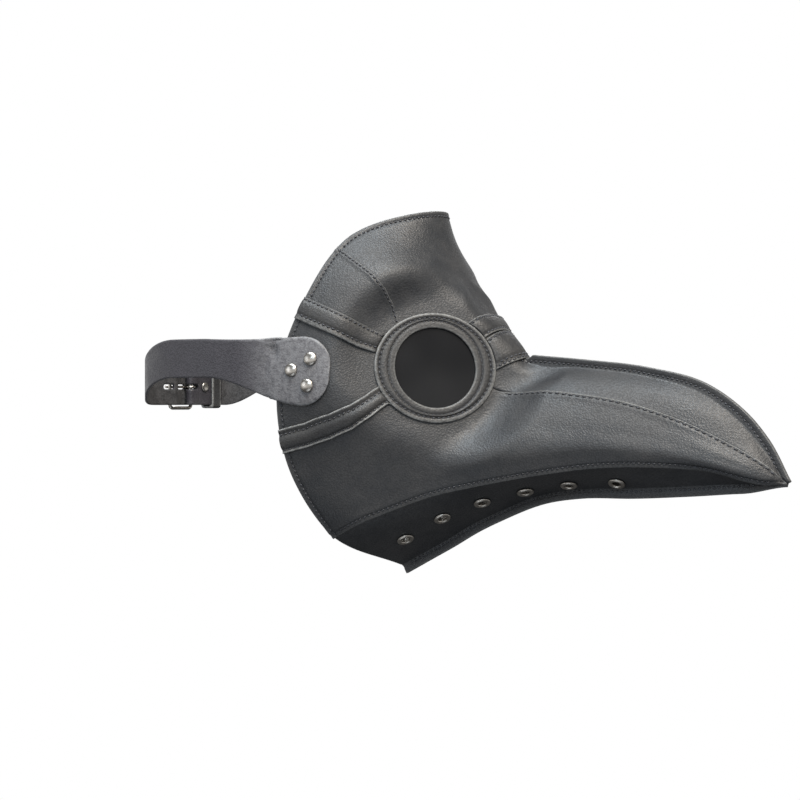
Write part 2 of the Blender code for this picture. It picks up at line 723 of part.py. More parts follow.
def left_route():
    leaf = [run_point(61.7, 0.2)] + [run_point(d, FOLD_LAYER) for d in (56, 46, 37)]
    angle = np.radians(np.linspace(90, 270, 9))
    fold = [run_point(BAR_AT + FOLD_RADIUS * math.cos(a), FOLD_RADIUS * math.sin(a)) for a in angle]
    back = [run_point(d, -FOLD_LAYER) for d in (37, 46, FOLD_END)]
    return head_curve(1, LEFT_ROUTE, leaf + fold + back)


def strap_edges(distance, fall_start, fall_end):
    """Top and bottom heights of a strap, by distance from the tab's round end."""
    rounding = np.clip(distance / 20, 0.015, 1)
    round_end = (1 - (1 - rounding)**2.4)**(1 / 2.4)
    half = STRAP_HALF + (TAB_HALF - STRAP_HALF) * (1 - smooth(distance, 12, 80))
    middle = TAB_RISE + (SIDE_RISE - TAB_RISE) * smooth(distance, 18, 85)
    middle = middle + (BACK_RISE - SIDE_RISE) * smooth(distance, fall_start, fall_end)
    return middle + half * round_end, middle - half * round_end


def back_edge_x(z):
    """x of the cheek's back edge at heights z."""
    edge = point(np.ones(60), np.linspace(4.5, 1.6, 60))
    return np.interp(z, edge[:, 2], edge[:, 0])


def strap_grid(route, stations, fall, side, round_tip):
    """A ribbon with upright sides along a plan route. On the panel it follows the leather."""
    steps = np.linalg.norm(np.diff(route, axis=0), axis=1)
    distance = np.concatenate([[0], np.cumsum(steps)])
    stations = np.append(stations[stations < distance[-1] - 0.5], distance[-1])
    x = np.interp(stations, distance, route[:, 0])
    y = np.interp(stations, distance, route[:, 1])
    high, low = strap_edges(stations, *fall)
    if round_tip:
        middle = (high + low) / 2
        left_over = np.clip((distance[-1] - stations) / 9, 0.03, 1)
        tip = (1 - (1 - left_over)**2)**0.5
        high = middle + (high - middle) * tip
        low = middle + (low - middle) * tip
    share = np.linspace(0, 1, 7)[:, None]
    z = high * (1 - share) + low * share
    grid = np.stack([np.broadcast_to(x, z.shape), np.broadcast_to(y, z.shape), z], -1).copy()
    on_panel = grid[0, :, 0] > 12
    covered = grid[:, on_panel]
    inside = covered[..., [0, 2]].reshape(-1, 2).copy()
    inside[:, 0] = np.maximum(inside[:, 0], back_edge_x(inside[:, 1]) + 0.2)
    uv = locate(np.array([1.0, 0, 0]), np.array([0, 0, 1.0]), inside)
    leather = point(uv[:, 0], uv[:, 1]).reshape(covered.shape)
    leather = leather + grid_normals(leather) * (LAY + STRAP / 2 + 0.05)
    follow = smooth(covered[..., 0], 14, 32)
    covered[..., 1] = side * (np.abs(leather[..., 1]) * follow + np.abs(covered[..., 1]) * (1 - follow))
    grid[:, on_panel] = covered
    return grid


def strap_stations(start_of_run, fine_start, fine_end, end):
    return np.unique(np.concatenate([
        [0.3, 1.2, 2.6, 4.5, 7, 10, 13.5, 17.5, 22], np.arange(28, start_of_run, 8.0),
        np.arange(start_of_run, fine_start, 5.0), np.arange(fine_start, fine_end, 1.4),
        np.arange(fine_end, end, 6.0)]))


def run_start(route):
    """Distance along a route to where it first comes to the straight run."""
    steps = np.linalg.norm(np.diff(route, axis=0), axis=1)
    distance = np.concatenate([[0], np.cumsum(steps)])
    to_start = np.linalg.norm(route - BUCKLE_START, axis=1)
    ends = np.minimum(to_start, np.linalg.norm(route - BUCKLE_END, axis=1))
    return distance[np.argmin(ends)]


def slot_cutter(name, collection, distance, out, length, width):
    centre = run_point(distance, out)
    slot = box(name, collection, (14, length, width), (*centre, BACK_RISE), math.atan2(
        BUCKLE_ALONG[1], BUCKLE_ALONG[0]) - math.pi / 2)
    return cutter_look(slot)


def build_straps(collection, cutters, skin, rivet_skin):
    right = right_route()
    begin = run_start(right)
    grid = strap_grid(right, strap_stations(begin, begin + 14, begin + 32, begin + 90), (110, begin),
                      -1, True)
    strap_right = sheet("strap_right", collection, grid, skin, STRAP, 0.0)
    for k in range(-1, 3):
        distance = USED_HOLE_AT + k * HOLE_PITCH
        hole = slot_cutter("strap_hole_%d" % (k + 2), cutters, distance, tongue_out(distance),
                           HOLE_LENGTH, HOLE_WIDTH)
        cut(strap_right, [hole])

    left = left_route()
    begin = run_start(left)
    bar = begin + np.linalg.norm(BUCKLE_END - BUCKLE_START) - BAR_AT
    grid = strap_grid(left, strap_stations(begin, bar - 8, bar + 16, bar + 60), (110, begin), 1, False)
    strap_left = sheet("strap_left", collection, grid[::-1], skin, STRAP, 0.0)
    slot = slot_cutter("prong_slot", cutters, BAR_AT, 0, 9.0, PRONG_WIDTH)
    cut(strap_left, [slot])

    at = (*run_point(FOLD_RIVET_AT, 0), BACK_RISE)
    out = (*BUCKLE_OUT, 0)
    cut(strap_left, [round_cutter("fold_rivet_hole", cutters, at, out, RIVET_HOLE, 12)])
    outer = FOLD_LAYER + STRAP / 2
    rivet("rivet_fold", collection, at, out, outer, -outer, 3.0, 0.8, rivet_skin)
    return {-1: strap_right, 1: strap_left}


def build_buckle(collection, steel, skin, cutters):
    bar = Vector((*run_point(BAR_AT, 0), BACK_RISE)) * MM
    pivots = []
    for name in ("buckle_frame_pivot", "buckle_prong_pivot"):
        pivot = bpy.data.objects.new(name, None)
        collection.objects.link(pivot)
        pivot.location = bar
        pivots.append(pivot)
    pivots[1].parent = pivots[0]
    pivots[1].location = (0, 0, 0)

    reach = BAR_AT - TIP_BAR_AT
    points = []
    for back, up in rounded_rectangle(reach, 2 * FRAME_HALF, FRAME_CORNER):
        place_at = run_point(BAR_AT - back, TIP_BAR_OUT * back / reach)
        points.append((*place_at, BACK_RISE + up))
    frame = tube("buckle_frame", collection, [tuple(Vector(p) - bar / MM) for p in points], BAR_RADIUS, steel,
                 cyclic=True)
    frame.parent = pivots[0]

    prong_points = []
    for degrees in range(-150, 91, 30):
        angle = math.radians(degrees)
        prong_points.append((PRONG_LOOP * math.cos(angle), PRONG_LOOP * math.sin(angle)))
    prong_points = [(-x, y) for x, y in prong_points]
    tip_out = TIP_BAR_OUT + BAR_RADIUS + PRONG_RADIUS + 0.4
    prong_points += [(-4, PRONG_LOOP + 0.55), (-10, PRONG_LOOP + 1.25), (-reach + 2, tip_out - 0.1),
                     (-reach - 1.6, tip_out)]
    points = []
    for forward, out in prong_points:
        place_at = run_point(BAR_AT + forward, out)
        points.append((*place_at, BACK_RISE))
    prong = tube("buckle_prong", collection, [tuple(Vector(p) - bar / MM) for p in points], PRONG_RADIUS,
                 steel)
    prong.parent = pivots[1]

    turn = math.atan2(BUCKLE_ALONG[1], BUCKLE_ALONG[0]) - math.pi / 2
    low = -(FOLD_LAYER + STRAP / 2 + 0.4)
    high = TONGUE_OUT + STRAP / 2 + 0.4
    centre = (*run_point(KEEPER_AT, (low + high) / 2), BACK_RISE)
    inner_height = 2 * (STRAP_HALF + 0.6)
    outer_size = (high - low + 2 * KEEPER_WALL, KEEPER_WIDTH, inner_height + 2 * KEEPER_WALL)
    keeper = box("strap_keeper", collection, outer_size, centre, turn)
    keeper.data.materials.append(skin)
    edge = keeper.modifiers.new("edge", "BEVEL")
    edge.width = 0.6 * MM
    edge.segments = 2
    inside = box("keeper_inside", cutters, (high - low, KEEPER_WIDTH * 2, inner_height), centre, turn)
    cut(keeper, [cutter_look(inside)])


def rounded_rectangle(length, height, radius, steps=4):
    """Points round a rectangle from 0 to length and centred in height, corners rounded."""
    corners = ((length - radius, height / 2 - radius, 0), (radius, height / 2 - radius, 90),
               (radius, radius - height / 2, 180), (length - radius, radius - height / 2, 270))
    points = []
    for x, y, start in corners:
        for step in range(steps + 1):
            angle = math.radians(start + 90 * step / steps)
            points.append((x + radius * math.cos(angle), y + radius * math.sin(angle)))
    return points


# ====================================================================================================
# The whole mask
# ====================================================================================================
def build():
    clear_scene()
    mask = new_collection(OBJECT_NAME)
    cutters = new_collection("cutters")
    leather = material("black leather", (0.035, 0.035, 0.04), 0.45)
    band_leather = material("black band leather", (0.03, 0.03, 0.035), 0.5)
    strap_leather = material("strap leather", (0.06, 0.055, 0.07), 0.5)
    nickel = material("nickel", (0.65, 0.63, 0.6), 0.25, 1.0)
    dark = material("dark lens", (0.02, 0.02, 0.02), 0.1)
    backing = material("black backing", (0.02, 0.02, 0.02), 0.8)

    sheet("forehead_panel", mask, forehead_grid(), leather, LEATHER)
    upper_band = bridge_band_grid(UPPER_BRIDGE_U, UPPER_BRIDGE_ON_RING)
    lower_band = bridge_band_grid(LOWER_BRIDGE_U, LOWER_BRIDGE_ON_RING)
    sheet("bridge_band_upper", mask, upper_band, band_leather, BAND, 1.0)
    sheet("bridge_band_lower", mask, lower_band, band_leather, BAND, 1.0)

    straps = build_straps(mask, cutters, strap_leather, nickel)
    for side, label in ((-1, "right"), (1, "left")):
        sheet("temple_panel_" + label, mask, on_side(temple_grid(), side), leather, LEATHER)
        cheek = sheet("cheek_panel_" + label, mask, on_side(cheek_grid(), side), leather, LEATHER)
        sheet("side_panel_" + label, mask, on_side(side_grid(), side), leather, LEATHER)
        sheet("beak_top_panel_" + label, mask, on_side(beak_top_grid(), side), leather, LEATHER)
        lower = sheet("beak_lower_panel_" + label, mask, on_side(beak_lower_grid(), side), leather, LEATHER)
        brow = face_band_grid(BROW_TOP, BROW_BOTTOM, BROW_ON_RING)
        band = face_band_grid(CHEEK_TOP, CHEEK_BOTTOM, (CHEEK_ON_RING[0] + 360, CHEEK_ON_RING[1] + 360))
        sheet("brow_band_" + label, mask, on_side(brow, side), band_leather, BAND, 1.0)
        sheet("cheek_band_" + label, mask, on_side(band, side), band_leather, BAND, 1.0)
        build_eye(mask, side, label, band_leather, dark, backing)
        for number, (u, v) in enumerate(EYELETS, 1):
            at, out = surface_frame(u, v, side)
            hole = round_cutter("eyelet_hole_%s_%d" % (label, number), cutters, at, out, EYELET_HOLE, 12)
            cut(lower, [hole])
            eyelet("eyelet_%s_%d" % (label, number), mask, at, out, nickel)
        for number, (x, z) in enumerate(STRAP_RIVETS, 1):
            u, v = locate(np.array([1.0, 0, 0]), np.array([0, 0, 1.0]), [(x, z)])[0]
            at, out = surface_frame(u, v, side)
            hole = round_cutter("rivet_hole_%s_%d" % (label, number), cutters, at, out, RIVET_HOLE, 16)
            cut(cheek, [hole])
            cut(straps[side], [hole])
            front = LAY + STRAP + 0.1
            rivet("rivet_%s_%d" % (label, number), mask, at, out, front, -LEATHER, RIVET_CAP, 1.9, nickel)
    build_buckle(mask, nickel, band_leather, cutters)


build()
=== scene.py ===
"""Looks of the plague doctor mask: stitched black leather, nickel hardware and dark lenses.

The mask lies on the same surface as its CAD solids, point(u, v): u runs from the beak's tip (0) over its
root (BEAK_ROOT) to the back edge (1), and v runs down the right side over seven long lines, from the middle
of the top (0) to the middle of the chin (6). Each panel and band is a fine grid on that surface, with its
seams, turned edges and folds as relief, and every stitch is a piece of thread. Sizes are in millimetres
until a mesh is made.
"""
import math

import bmesh
import bpy
import numpy as np
from mathutils import Matrix, Vector


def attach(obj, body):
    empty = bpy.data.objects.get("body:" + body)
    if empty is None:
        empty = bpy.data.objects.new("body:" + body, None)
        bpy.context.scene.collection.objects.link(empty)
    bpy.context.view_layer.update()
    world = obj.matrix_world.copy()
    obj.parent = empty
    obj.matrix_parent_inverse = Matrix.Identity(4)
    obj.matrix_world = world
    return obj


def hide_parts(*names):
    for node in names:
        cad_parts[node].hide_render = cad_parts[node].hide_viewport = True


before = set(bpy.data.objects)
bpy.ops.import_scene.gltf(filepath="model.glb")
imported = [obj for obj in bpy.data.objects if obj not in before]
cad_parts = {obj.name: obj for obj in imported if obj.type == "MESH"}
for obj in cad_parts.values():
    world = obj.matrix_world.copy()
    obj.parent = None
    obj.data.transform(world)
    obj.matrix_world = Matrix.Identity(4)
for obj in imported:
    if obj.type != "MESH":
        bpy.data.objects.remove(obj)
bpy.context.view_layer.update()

MM = 0.001
SIDES = ((-1, "right"), (1, "left"))

# --- sizes shared with the CAD ---
LEATHER = 1.5
BAND = 1.2
STRAP = 1.6
LAY = 0.70
FOLD_GAP = 0.15
TOP_FLANGE = 4.0
CHIN_FLANGE = 4.5
TOP_FLANGE_TIP = 1.8
CHIN_FLANGE_TIP = 0.9
FLANGE_TAPER_U = 0.085

EYE = np.array([107.8, -37.6, 0.0])
EYE_TURN = math.radians(38)
EYE_TILT = math.radians(12)
EYE_ALONG = np.array([math.cos(EYE_TURN), math.sin(EYE_TURN), 0.0])
EYE_OUT = np.array([
    math.sin(EYE_TURN) * math.cos(EYE_TILT),
    -math.cos(EYE_TURN) * math.cos(EYE_TILT),
    math.sin(EYE_TILT),
])
EYE_UP = np.cross(EYE_OUT, EYE_ALONG)
FLAT_RADIUS = 37.0
FLAT_BLEND = 62.0
VIEW_RADIUS = 23.3
HOLE_RADIUS = 28.0
RING_LENGTH = 35.3
RING_HEIGHT = 32.0
LENS_RADIUS = 26.5
RETAINER_RADIUS = 30.2

BEAK_ROOT = 0.55
TIP = (306, 0, -65)


def eye_point(along, up):
    """A point of the eye's plane."""
    return tuple(EYE + along * EYE_ALONG + up * EYE_UP)


# The long lines: points on the beak, then points on the face.
LINES = (
    ("top",
     [TIP, (296, 0, -49.5), (279, 0, -28.5), (256, 0, -12.5), (222, 0, -3.5), (184, 0, 1), (150, 0, 4)],
     [(138, 0, 16.5), (122.5, 0, 33), (109.5, 0, 52), (100, 0, 73), (95, 0, 92)]),
    ("temple",
     [TIP, (147, -12, -3)],
     [eye_point(24, 22), eye_point(4, 36), (91, -49, 50), (73, -50, 64), (56, -47, 75)]),
    ("crease",
     [TIP, (294, -6, -55), (272, -10, -42), (246, -13.5, -30), (214, -17, -20), (178, -20.5, -14.5),
      (139.6, -22.3, -11)],
     [eye_point(18, -5), eye_point(-5, 2), eye_point(-30, 12), (62, -70, 26), (40.5, -71, 38)]),
    ("cheek",
     [TIP, (292, -8.5, -58.5), (268, -15, -48.5), (240, -19, -40), (205, -25, -34), (170, -31, -31),
      (136, -38.5, -31)],
     [eye_point(2, -36), eye_point(-30, -26), (60, -77, -14), (28, -78, -3)]),
    ("jaw",
     [TIP, (291, -8.7, -61), (266, -16, -54), (238, -21.5, -48.5), (205, -28, -46), (172, -35.5, -48),
      (134, -43, -52)],
     [(112, -46.5, -56), (85, -57, -58), (58, -66, -58), (31, -72.5, -55)]),
    ("seam",
     [TIP, (290, -8, -62.2), (262, -14.5, -55.5), (236, -19.6, -53.3), (205, -25, -53.6),
      (171, -32, -57.8), (136, -38, -64.2)],
     [(107.9, -44, -70.7), (85.8, -50, -79), (66, -54, -87), (47.5, -51, -96)]),
    ("bottom",
     [TIP, (280, 0, -65.5), (250, 0, -67.5), (215, 0, -69.3), (183, 0, -69.8), (160, 0, -73),
      (130, 0, -84)],
     [(115, 0, -91), (100, 0, -99.5), (84, 0, -108), (69, 0, -116)]),
)
CREASE_V = 2.0
SEAM_V = 5.0
CHIN_V = 6.0
SHARP_AT = (0.0, BEAK_ROOT, BEAK_ROOT + 0.12, 1.0)
SHARPNESS = {2: (1.0, 0.75, 0.0, 0.0), 5: (0.85, 0.75, 0.45, 0.15)}
LINE_STEPS = 64

TEMPLE_SEAM = [(0.80, 1.52), (0.83, 1.35), (0.86, 1.26), (0.90, 1.21), (1.0, 1.20)]
BROW_TOP = [(0.80, 1.77), (0.85, 1.82), (0.90, 1.86), (0.95, 1.90), (1.0, 1.94)]
BROW_BOTTOM = [(0.81, 2.11), (0.85, 2.17), (0.90, 2.19), (0.95, 2.22), (1.0, 2.25)]
CHEEK_TOP = [(0.77, 2.62), (0.80, 2.87), (0.83, 3.06), (0.87, 3.25), (0.93, 3.45), (1.0, 3.61)]
CHEEK_BOTTOM = [(0.75, 2.89), (0.78, 3.13), (0.82, 3.38), (0.87, 3.57), (0.93, 3.73), (1.0, 3.87)]
UPPER_BRIDGE_U = (0.655, 0.710)
LOWER_BRIDGE_U = (0.560, 0.652)
TEMPLE_ANGLE = 124
BROW_ANGLE = 155
CHEEK_ANGLE = -148
FRONT_ANGLE = -17
BROW_ON_RING = (143, 164)
CHEEK_ON_RING = (200, 222)
UPPER_BRIDGE_ON_RING = (33, 55)
LOWER_BRIDGE_ON_RING = (-2, 31)

EYELETS = [(0.865, 5.58), (0.718, 5.52), (0.576, 5.52), (0.482, 5.62), (0.400, 5.68), (0.311, 5.70)]
EYELET_BORE = 2.4
EYELET_BARREL = 2.9
EYELET_RIM = 5.0
EYELET_ROLL = 1.3
STRAP_RIVETS = [(38.2, -1.3), (49.9, 4.9), (48.6, -10.0)]
RIVET_CAP = 3.9
RIVET_POST = 1.5
RIVET_DOME = 1.75
FOLD_RIVET_CAP = 3.0
FOLD_RIVET_DOME = 0.8

TAB_END = 61.3
TAB_HALF = 19.8
STRAP_HALF = 11.25
TAB_RISE = -1.8
SIDE_RISE = 6.0
BACK_RISE = -10.0
FALL_START = 110.0           # the strap starts to fall this far from the tab's round end
HEAD_ROUTE = [(28, 78.8), (0, 78.2), (-25, 75.3), (-50, 67.3)]
RIGHT_ROUTE = [(-72, -53.5), (-88, -34.5)]
LEFT_ROUTE = [(-69, 60.5)]
BUCKLE_START = np.array([-98.5, -8.0])
BUCKLE_END = np.array([-84.0, 52.0])
BUCKLE_ALONG = (BUCKLE_END - BUCKLE_START) / np.linalg.norm(BUCKLE_END - BUCKLE_START)
BUCKLE_OUT = np.array([-BUCKLE_ALONG[1], BUCKLE_ALONG[0]])
BAR_AT = 31.0
TIP_BAR_AT = 15.0
TIP_BAR_OUT = 2.2
BAR_RADIUS = 1.1
FRAME_HALF = 13.1
FRAME_CORNER = 2.2
FOLD_RADIUS = 2.2
FOLD_LAYER = 1.0
FOLD_END = 57.0
TONGUE_OUT = 4.2
TONGUE_END = 60.0
PRONG_RADIUS = 0.8
PRONG_LOOP = 2.2
PRONG_WIDTH = 3.0
HOLE_PITCH = 13.0
HOLE_LENGTH = 9.4
HOLE_WIDTH = 3.0
USED_HOLE_AT = 24.4
FOLD_RIVET_AT = 41.5
KEEPER_AT = 50.5
KEEPER_WIDTH = 7.0
KEEPER_WALL = 1.3
KEEPER_PLAY = 0.4
KEEPER_PLAY_UP = 0.6
KEEPER_CORNER = 1.8
KEEPER_CROWN = 0.18
KEEPER_COLUMNS = np.array([0, 0.3, 0.7, 1.4, 2.4, 3.5, 4.6, 5.6, 6.3, 6.7, 7.0])

# The bands over the bridge: label, edges, place on the ring, and (edge, distance) of each row of stitches.
BRIDGE_BANDS = (
    ("upper", UPPER_BRIDGE_U, UPPER_BRIDGE_ON_RING, (("back", 1.5), ("front", 1.5))),
    ("lower", LOWER_BRIDGE_U, LOWER_BRIDGE_ON_RING, (("back", 1.5), ("front", 1.3), ("front", 3.2))),
)

# --- stitching and relief ---
PITCH = 2.9                  # from one stitch to the next
STITCH = 2.05                # length of thread that shows
CREASE_PITCH = 4.0           # the same for the longer stitches on the beak's crease
THREAD = 0.44                # thread radius
MM_PER_U = 255.0             # length of the face per unit of u, near the back edge
HEM = np.array([6.5, 5.2, 4.2, 3.6, 3.0, 2.4, 1.8, 1.1, 0.5, 0.0])    # columns in the back hem
HEM_STITCH = 3.0             # distances of rows of stitches from their edges
TEMPLE_STITCH = 1.4
BROW_STITCH_TOP = 1.5
BROW_STITCH_BOTTOM = 3.0
CHEEK_STITCH_TOP = 3.3
CHEEK_STITCH_BOTTOM = 1.8
RIDGE_STITCH = TOP_FLANGE - 0.4
CHIN_STITCH = CHIN_FLANGE - 0.3
EDGE_ROWS = np.array([0.0, 0.5, 1.0, 1.5, 2.0, 2.6, 3.3, 4.1, 5.2, 6.6])
FIN = 1.3                    # the side panel's edge stands this far proud of the crease
CREASE_AT = FIN + 0.1        # where the crease's stitches lie, from the panel's upper edge
FLAP = 2.7                   # the panel hangs this far below the lower seam's stitches


# --- Curves and the master surface, as in the CAD ---
def unit(vectors):
    return vectors / (np.linalg.norm(vectors, axis=-1, keepdims=True) + 1e-12)


def smooth(x, low, high):
    """0 below low, 1 above high, and an even curve between."""
    t = np.clip((np.asarray(x, float) - low) / (high - low), 0, 1)
    return t * t * (3 - 2 * t)


def hermite(start, end, leave, arrive, t):
    t = np.asarray(t, float)[..., None]
    return ((2 * t**3 - 3 * t**2 + 1) * start + (t**3 - 2 * t**2 + t) * leave
            + (-2 * t**3 + 3 * t**2) * end + (t**3 - t**2) * arrive)


def curve_through(points, steps=LINE_STEPS):
    """A smooth curve through the points, as a dense polyline."""
    points = np.array(points, float)
    length = np.linalg.norm(np.diff(points, axis=0), axis=1)[:, None]
    chord = np.diff(points, axis=0) / length
    tangent = np.concatenate([chord[:1], chord, chord[-1:]])[:len(points)]
    tangent[1:-1] = (length[:-1] * chord[1:] + length[1:] * chord[:-1]) / (length[:-1] + length[1:])
    tangent[-1] = chord[-1]
    t = np.linspace(0, 1, steps + 1)[1:]
    pieces = [points[:1]]
    for i in range(len(points) - 1):
        pieces.append(hermite(points[i], points[i + 1], tangent[i] * length[i],
                              tangent[i + 1] * length[i], t))
    return np.concatenate(pieces)


def run_lengths(points, axis=0):
    """Distance along a line of points, or down each column of a grid."""
    steps = np.linalg.norm(np.diff(points, axis=axis), axis=-1)
    start = np.zeros_like(np.take(steps, [0], axis=axis))
    return np.concatenate([start, np.cumsum(steps, axis=axis)], axis=axis)


def along(line, fraction):
    """Points at fractions of a polyline's length."""
    distance = run_lengths(line)
    distance = distance / distance[-1]
    return np.stack([np.interp(fraction, distance, line[:, k]) for k in range(line.shape[1])], -1)


def long_lines():
    """Each line as two dense polylines, the beak's part and the face's part."""
    lines = []
    for name, beak, face in LINES:
        if name == "top":
            lines.append((curve_through(beak), curve_through(beak[-1:] + face)))
        else:
            whole = curve_through(beak + face)
            split = (len(beak) - 1) * LINE_STEPS
            lines.append((whole[:split + 1], whole[split:]))
    return lines


DENSE = long_lines()


def line_points(index, u):
    beak, face = DENSE[index]
    on_beak = along(beak, np.clip(u / BEAK_ROOT, 0, 1))
    on_face = along(face, np.clip((u - BEAK_ROOT) / (1 - BEAK_ROOT), 0, 1))
    return np.where((u <= BEAK_ROOT)[:, None], on_beak, on_face)


def cross_lines(u):
    """The seven lines' points at each u. On the beak the second line is a slightly crowned middle."""
    lines = np.stack([line_points(i, u) for i in range(len(LINES))])
    crown = np.array([0, -1.2, 0.7]) * smooth(u, 0, 0.25)[:, None]
    middle = 0.5 * (lines[0] + lines[2]) + crown
    own = smooth(u, BEAK_ROOT - 0.10, BEAK_ROOT)[:, None]
    lines[1] = middle * (1 - own) + lines[1] * own
    return lines


def flattened(points):
    """Presses the leather flat round the eye, but not across the bridge."""
    offset = points - EYE
    height = offset @ EYE_OUT
    reach = np.hypot(offset @ EYE_ALONG, offset @ EYE_UP)
    keep = smooth(reach, FLAT_RADIUS, FLAT_BLEND)
    keep = np.maximum(keep, 1 - smooth(np.abs(points[:, 1]), 3, 19))
    keep = np.where(np.abs(height) > 30, 1.0, keep)
    return points - ((1 - keep) * height)[:, None] * EYE_OUT


def point(u, v):
    """Points of the right half of the master surface."""
    u = np.asarray(u, float).ravel()
    v = np.asarray(v, float).ravel()
    lines = cross_lines(u)
    length = np.linalg.norm(np.diff(lines, axis=0), axis=2)[..., None] + 1e-9
    chord = np.diff(lines, axis=0) / length
    arrive = np.empty_like(lines)
    leave = np.empty_like(lines)
    seamed = 1 - smooth(u, BEAK_ROOT - 0.01, BEAK_ROOT + 0.06)[:, None]
    leave[0] = np.array([0, -1, 0]) * (1 - seamed) + chord[0] * seamed
    arrive[-1] = chord[-1]
    for i in range(1, len(LINES) - 1):
        even = (length[i] * chord[i - 1] + length[i - 1] * chord[i]) / (length[i - 1] + length[i])
        sharp = np.interp(u, SHARP_AT, SHARPNESS.get(i, (0, 0, 0, 0)))[:, None]
        arrive[i] = even * (1 - sharp) + chord[i - 1] * sharp
        leave[i] = even * (1 - sharp) + chord[i] * sharp
    span = np.clip(v.astype(int), 0, len(LINES) - 2)
    column = np.arange(len(u))
    reach = length[span, column]
    found = hermite(lines[span, column], lines[span + 1, column], leave[span, column] * reach,
                    arrive[span + 1, column] * reach, v - span)
    return flattened(found)


SEED_U, SEED_V = (grid.ravel() for grid in np.meshgrid(np.linspace(0.5, 0.995, 100), np.linspace(0.8, 4, 65)))
SEEDS = point(SEED_U, SEED_V)


def locate(first, second, targets):
    """The (u, v) whose points have the given coordinates along two directions, by Newton's method."""
    axes = np.stack([first, second], 1)
    targets = np.array(targets, float)
    apart = ((SEEDS @ axes)[None] - targets[:, None])
    nearest = np.argmin((apart**2).sum(-1), axis=1)
    u, v = SEED_U[nearest].copy(), SEED_V[nearest].copy()
    step = 1e-4
    for _ in range(12):
        here = point(u, v) @ axes
        by_u = (point(u + step, v) @ axes - here) / step
        by_v = (point(u, v + step) @ axes - here) / step
        miss = targets - here
        area = by_u[:, 0] * by_v[:, 1] - by_u[:, 1] * by_v[:, 0]
        u += np.clip((miss[:, 0] * by_v[:, 1] - miss[:, 1] * by_v[:, 0]) / area, -0.05, 0.05)
        v += np.clip((by_u[:, 0] * miss[:, 1] - by_u[:, 1] * miss[:, 0]) / area, -0.3, 0.3)
        u = np.clip(u, 0.5, 1.0 - 2 * step)
        v = np.clip(v, 0.5, 4.5)
    return np.stack([u, v], 1)


def from_side(spots):
    """(u, v) of points given by x and z, seen from the side."""
    return locate(np.array([1.0, 0, 0]), np.array([0, 0, 1.0]), spots)


def on_eye(half_length, half_height, start, end, count):
    """(u, v) along an arc round the eye, from one angle to another in degrees."""
    angle = np.radians(np.linspace(start, end, count))
    return locate(EYE_ALONG, EYE_UP, np.stack([half_length * np.cos(angle), half_height * np.sin(angle)], 1)
                  + np.array([EYE @ EYE_ALONG, EYE @ EYE_UP]))


def on_hole(start, end, count=40):
    """(u, v) along the edge of the hole behind the eye ring."""
    return on_eye(HOLE_RADIUS, HOLE_RADIUS, start, end, count)


def on_ring(start, end):
    """(u, v) along the ring's outer edge."""
    return on_eye(RING_LENGTH + 0.1, RING_HEIGHT + 0.1, start, end, 24)


def width_at(u, v):
    """Millimetres per unit of v."""
    step = 0.01
    return np.linalg.norm(point(u, v + step) - point(u, v), axis=1) / step


def surface_grid(uv):
    return point(uv[..., 0], uv[..., 1]).reshape(uv.shape[:2] + (3,))


def grid_normals(points):
    """Outward normals of a grid whose rows run front to back and follow each other downward."""
    return unit(np.cross(np.gradient(points, axis=1), np.gradient(points, axis=0)))


def surface_frame(u, v, side):
    """A point of the surface and its outward direction."""
    step = 0.01
    corner = point([u - step, u + step, u, u], [v, v, v - step, v + step])
    out = np.cross(corner[1] - corner[0], corner[3] - corner[2])
    return on_face_side(point([u], [v])[0], side), on_face_side(unit(out), side)


def on_face_side(vectors, side):
    return np.asarray(vectors) * np.array([1, -side, 1])


# --- Patches of (u, v) ---
def back_us(start, count):
    """u from a start to the back edge, closer together in the hem."""
    hem = 1 - HEM / MM_PER_U
    return np.concatenate([np.linspace(start, hem[0], count), hem[1:]])


def seam_line(seam, us, start, shift):
    """(u, v) along a seam, led in from another first point and moved sideways by shift mm."""
    seam = np.array(seam, float)
    v = np.interp(us, seam[:, 0], seam[:, 1])
    v = v + shift / width_at(us, v)
    line = np.stack([us, v], 1)
    ease = (1 - smooth(us, us[0], us[0] + 0.05))[:, None]
    return line + (np.asarray(start) - line[0]) * ease


def rear_seam(seam, start, shift=0.0):
    """(u, v) along a seam from a point of the eye's hole or ring to the back edge."""
    return seam_line(seam, back_us(start[0], BACK_COLUMNS), start, shift)


def between(first, second):
    return (np.array(first) + np.array(second)) / 2


def straight(start, end, count):
    return np.linspace(np.asarray(start, float), np.asarray(end, float), count)


def four_sided(top, bottom, front, back):
    """A grid of (u, v) that fits four edges. Top and bottom run front to back."""
    s = np.linspace(0, 1, len(top))[None, :, None]
    t = np.linspace(0, 1, len(front))[:, None, None]
    corners = ((1 - s) * (1 - t) * top[0] + s * (1 - t) * top[-1]
               + (1 - s) * t * bottom[0] + s * t * bottom[-1])
    return ((1 - t) * top[None] + t * bottom[None] + (1 - s) * front[:, None] + s * back[:, None] - corners)


def columns_between(top, bottom, rows):
    t = np.linspace(0, 1, rows)[:, None, None]
    return (1 - t) * top[None] + t * bottom[None]


def respaced(uv, first, last, middle):
    """The same patch with rows at the given distances in mm from its first and last rows."""
    run = run_lengths(surface_grid(uv))
    total = run[-1]
    share = np.minimum(1, 0.42 * total / max(first[-1], last[-1]))
    top = np.outer(first, share)
    low = total - np.outer(last[::-1], share)
    t = np.linspace(0, 1, middle + 2)[1:-1, None]
    wanted = np.concatenate([top, top[-1] * (1 - t) + low[0] * t, low])
    made = np.empty((len(wanted), uv.shape[1], 2))
    for j in range(uv.shape[1]):
        for k in range(2):
            made[:, j, k] = np.interp(wanted[:, j], run[:, j], uv[:, j, k])
    return made


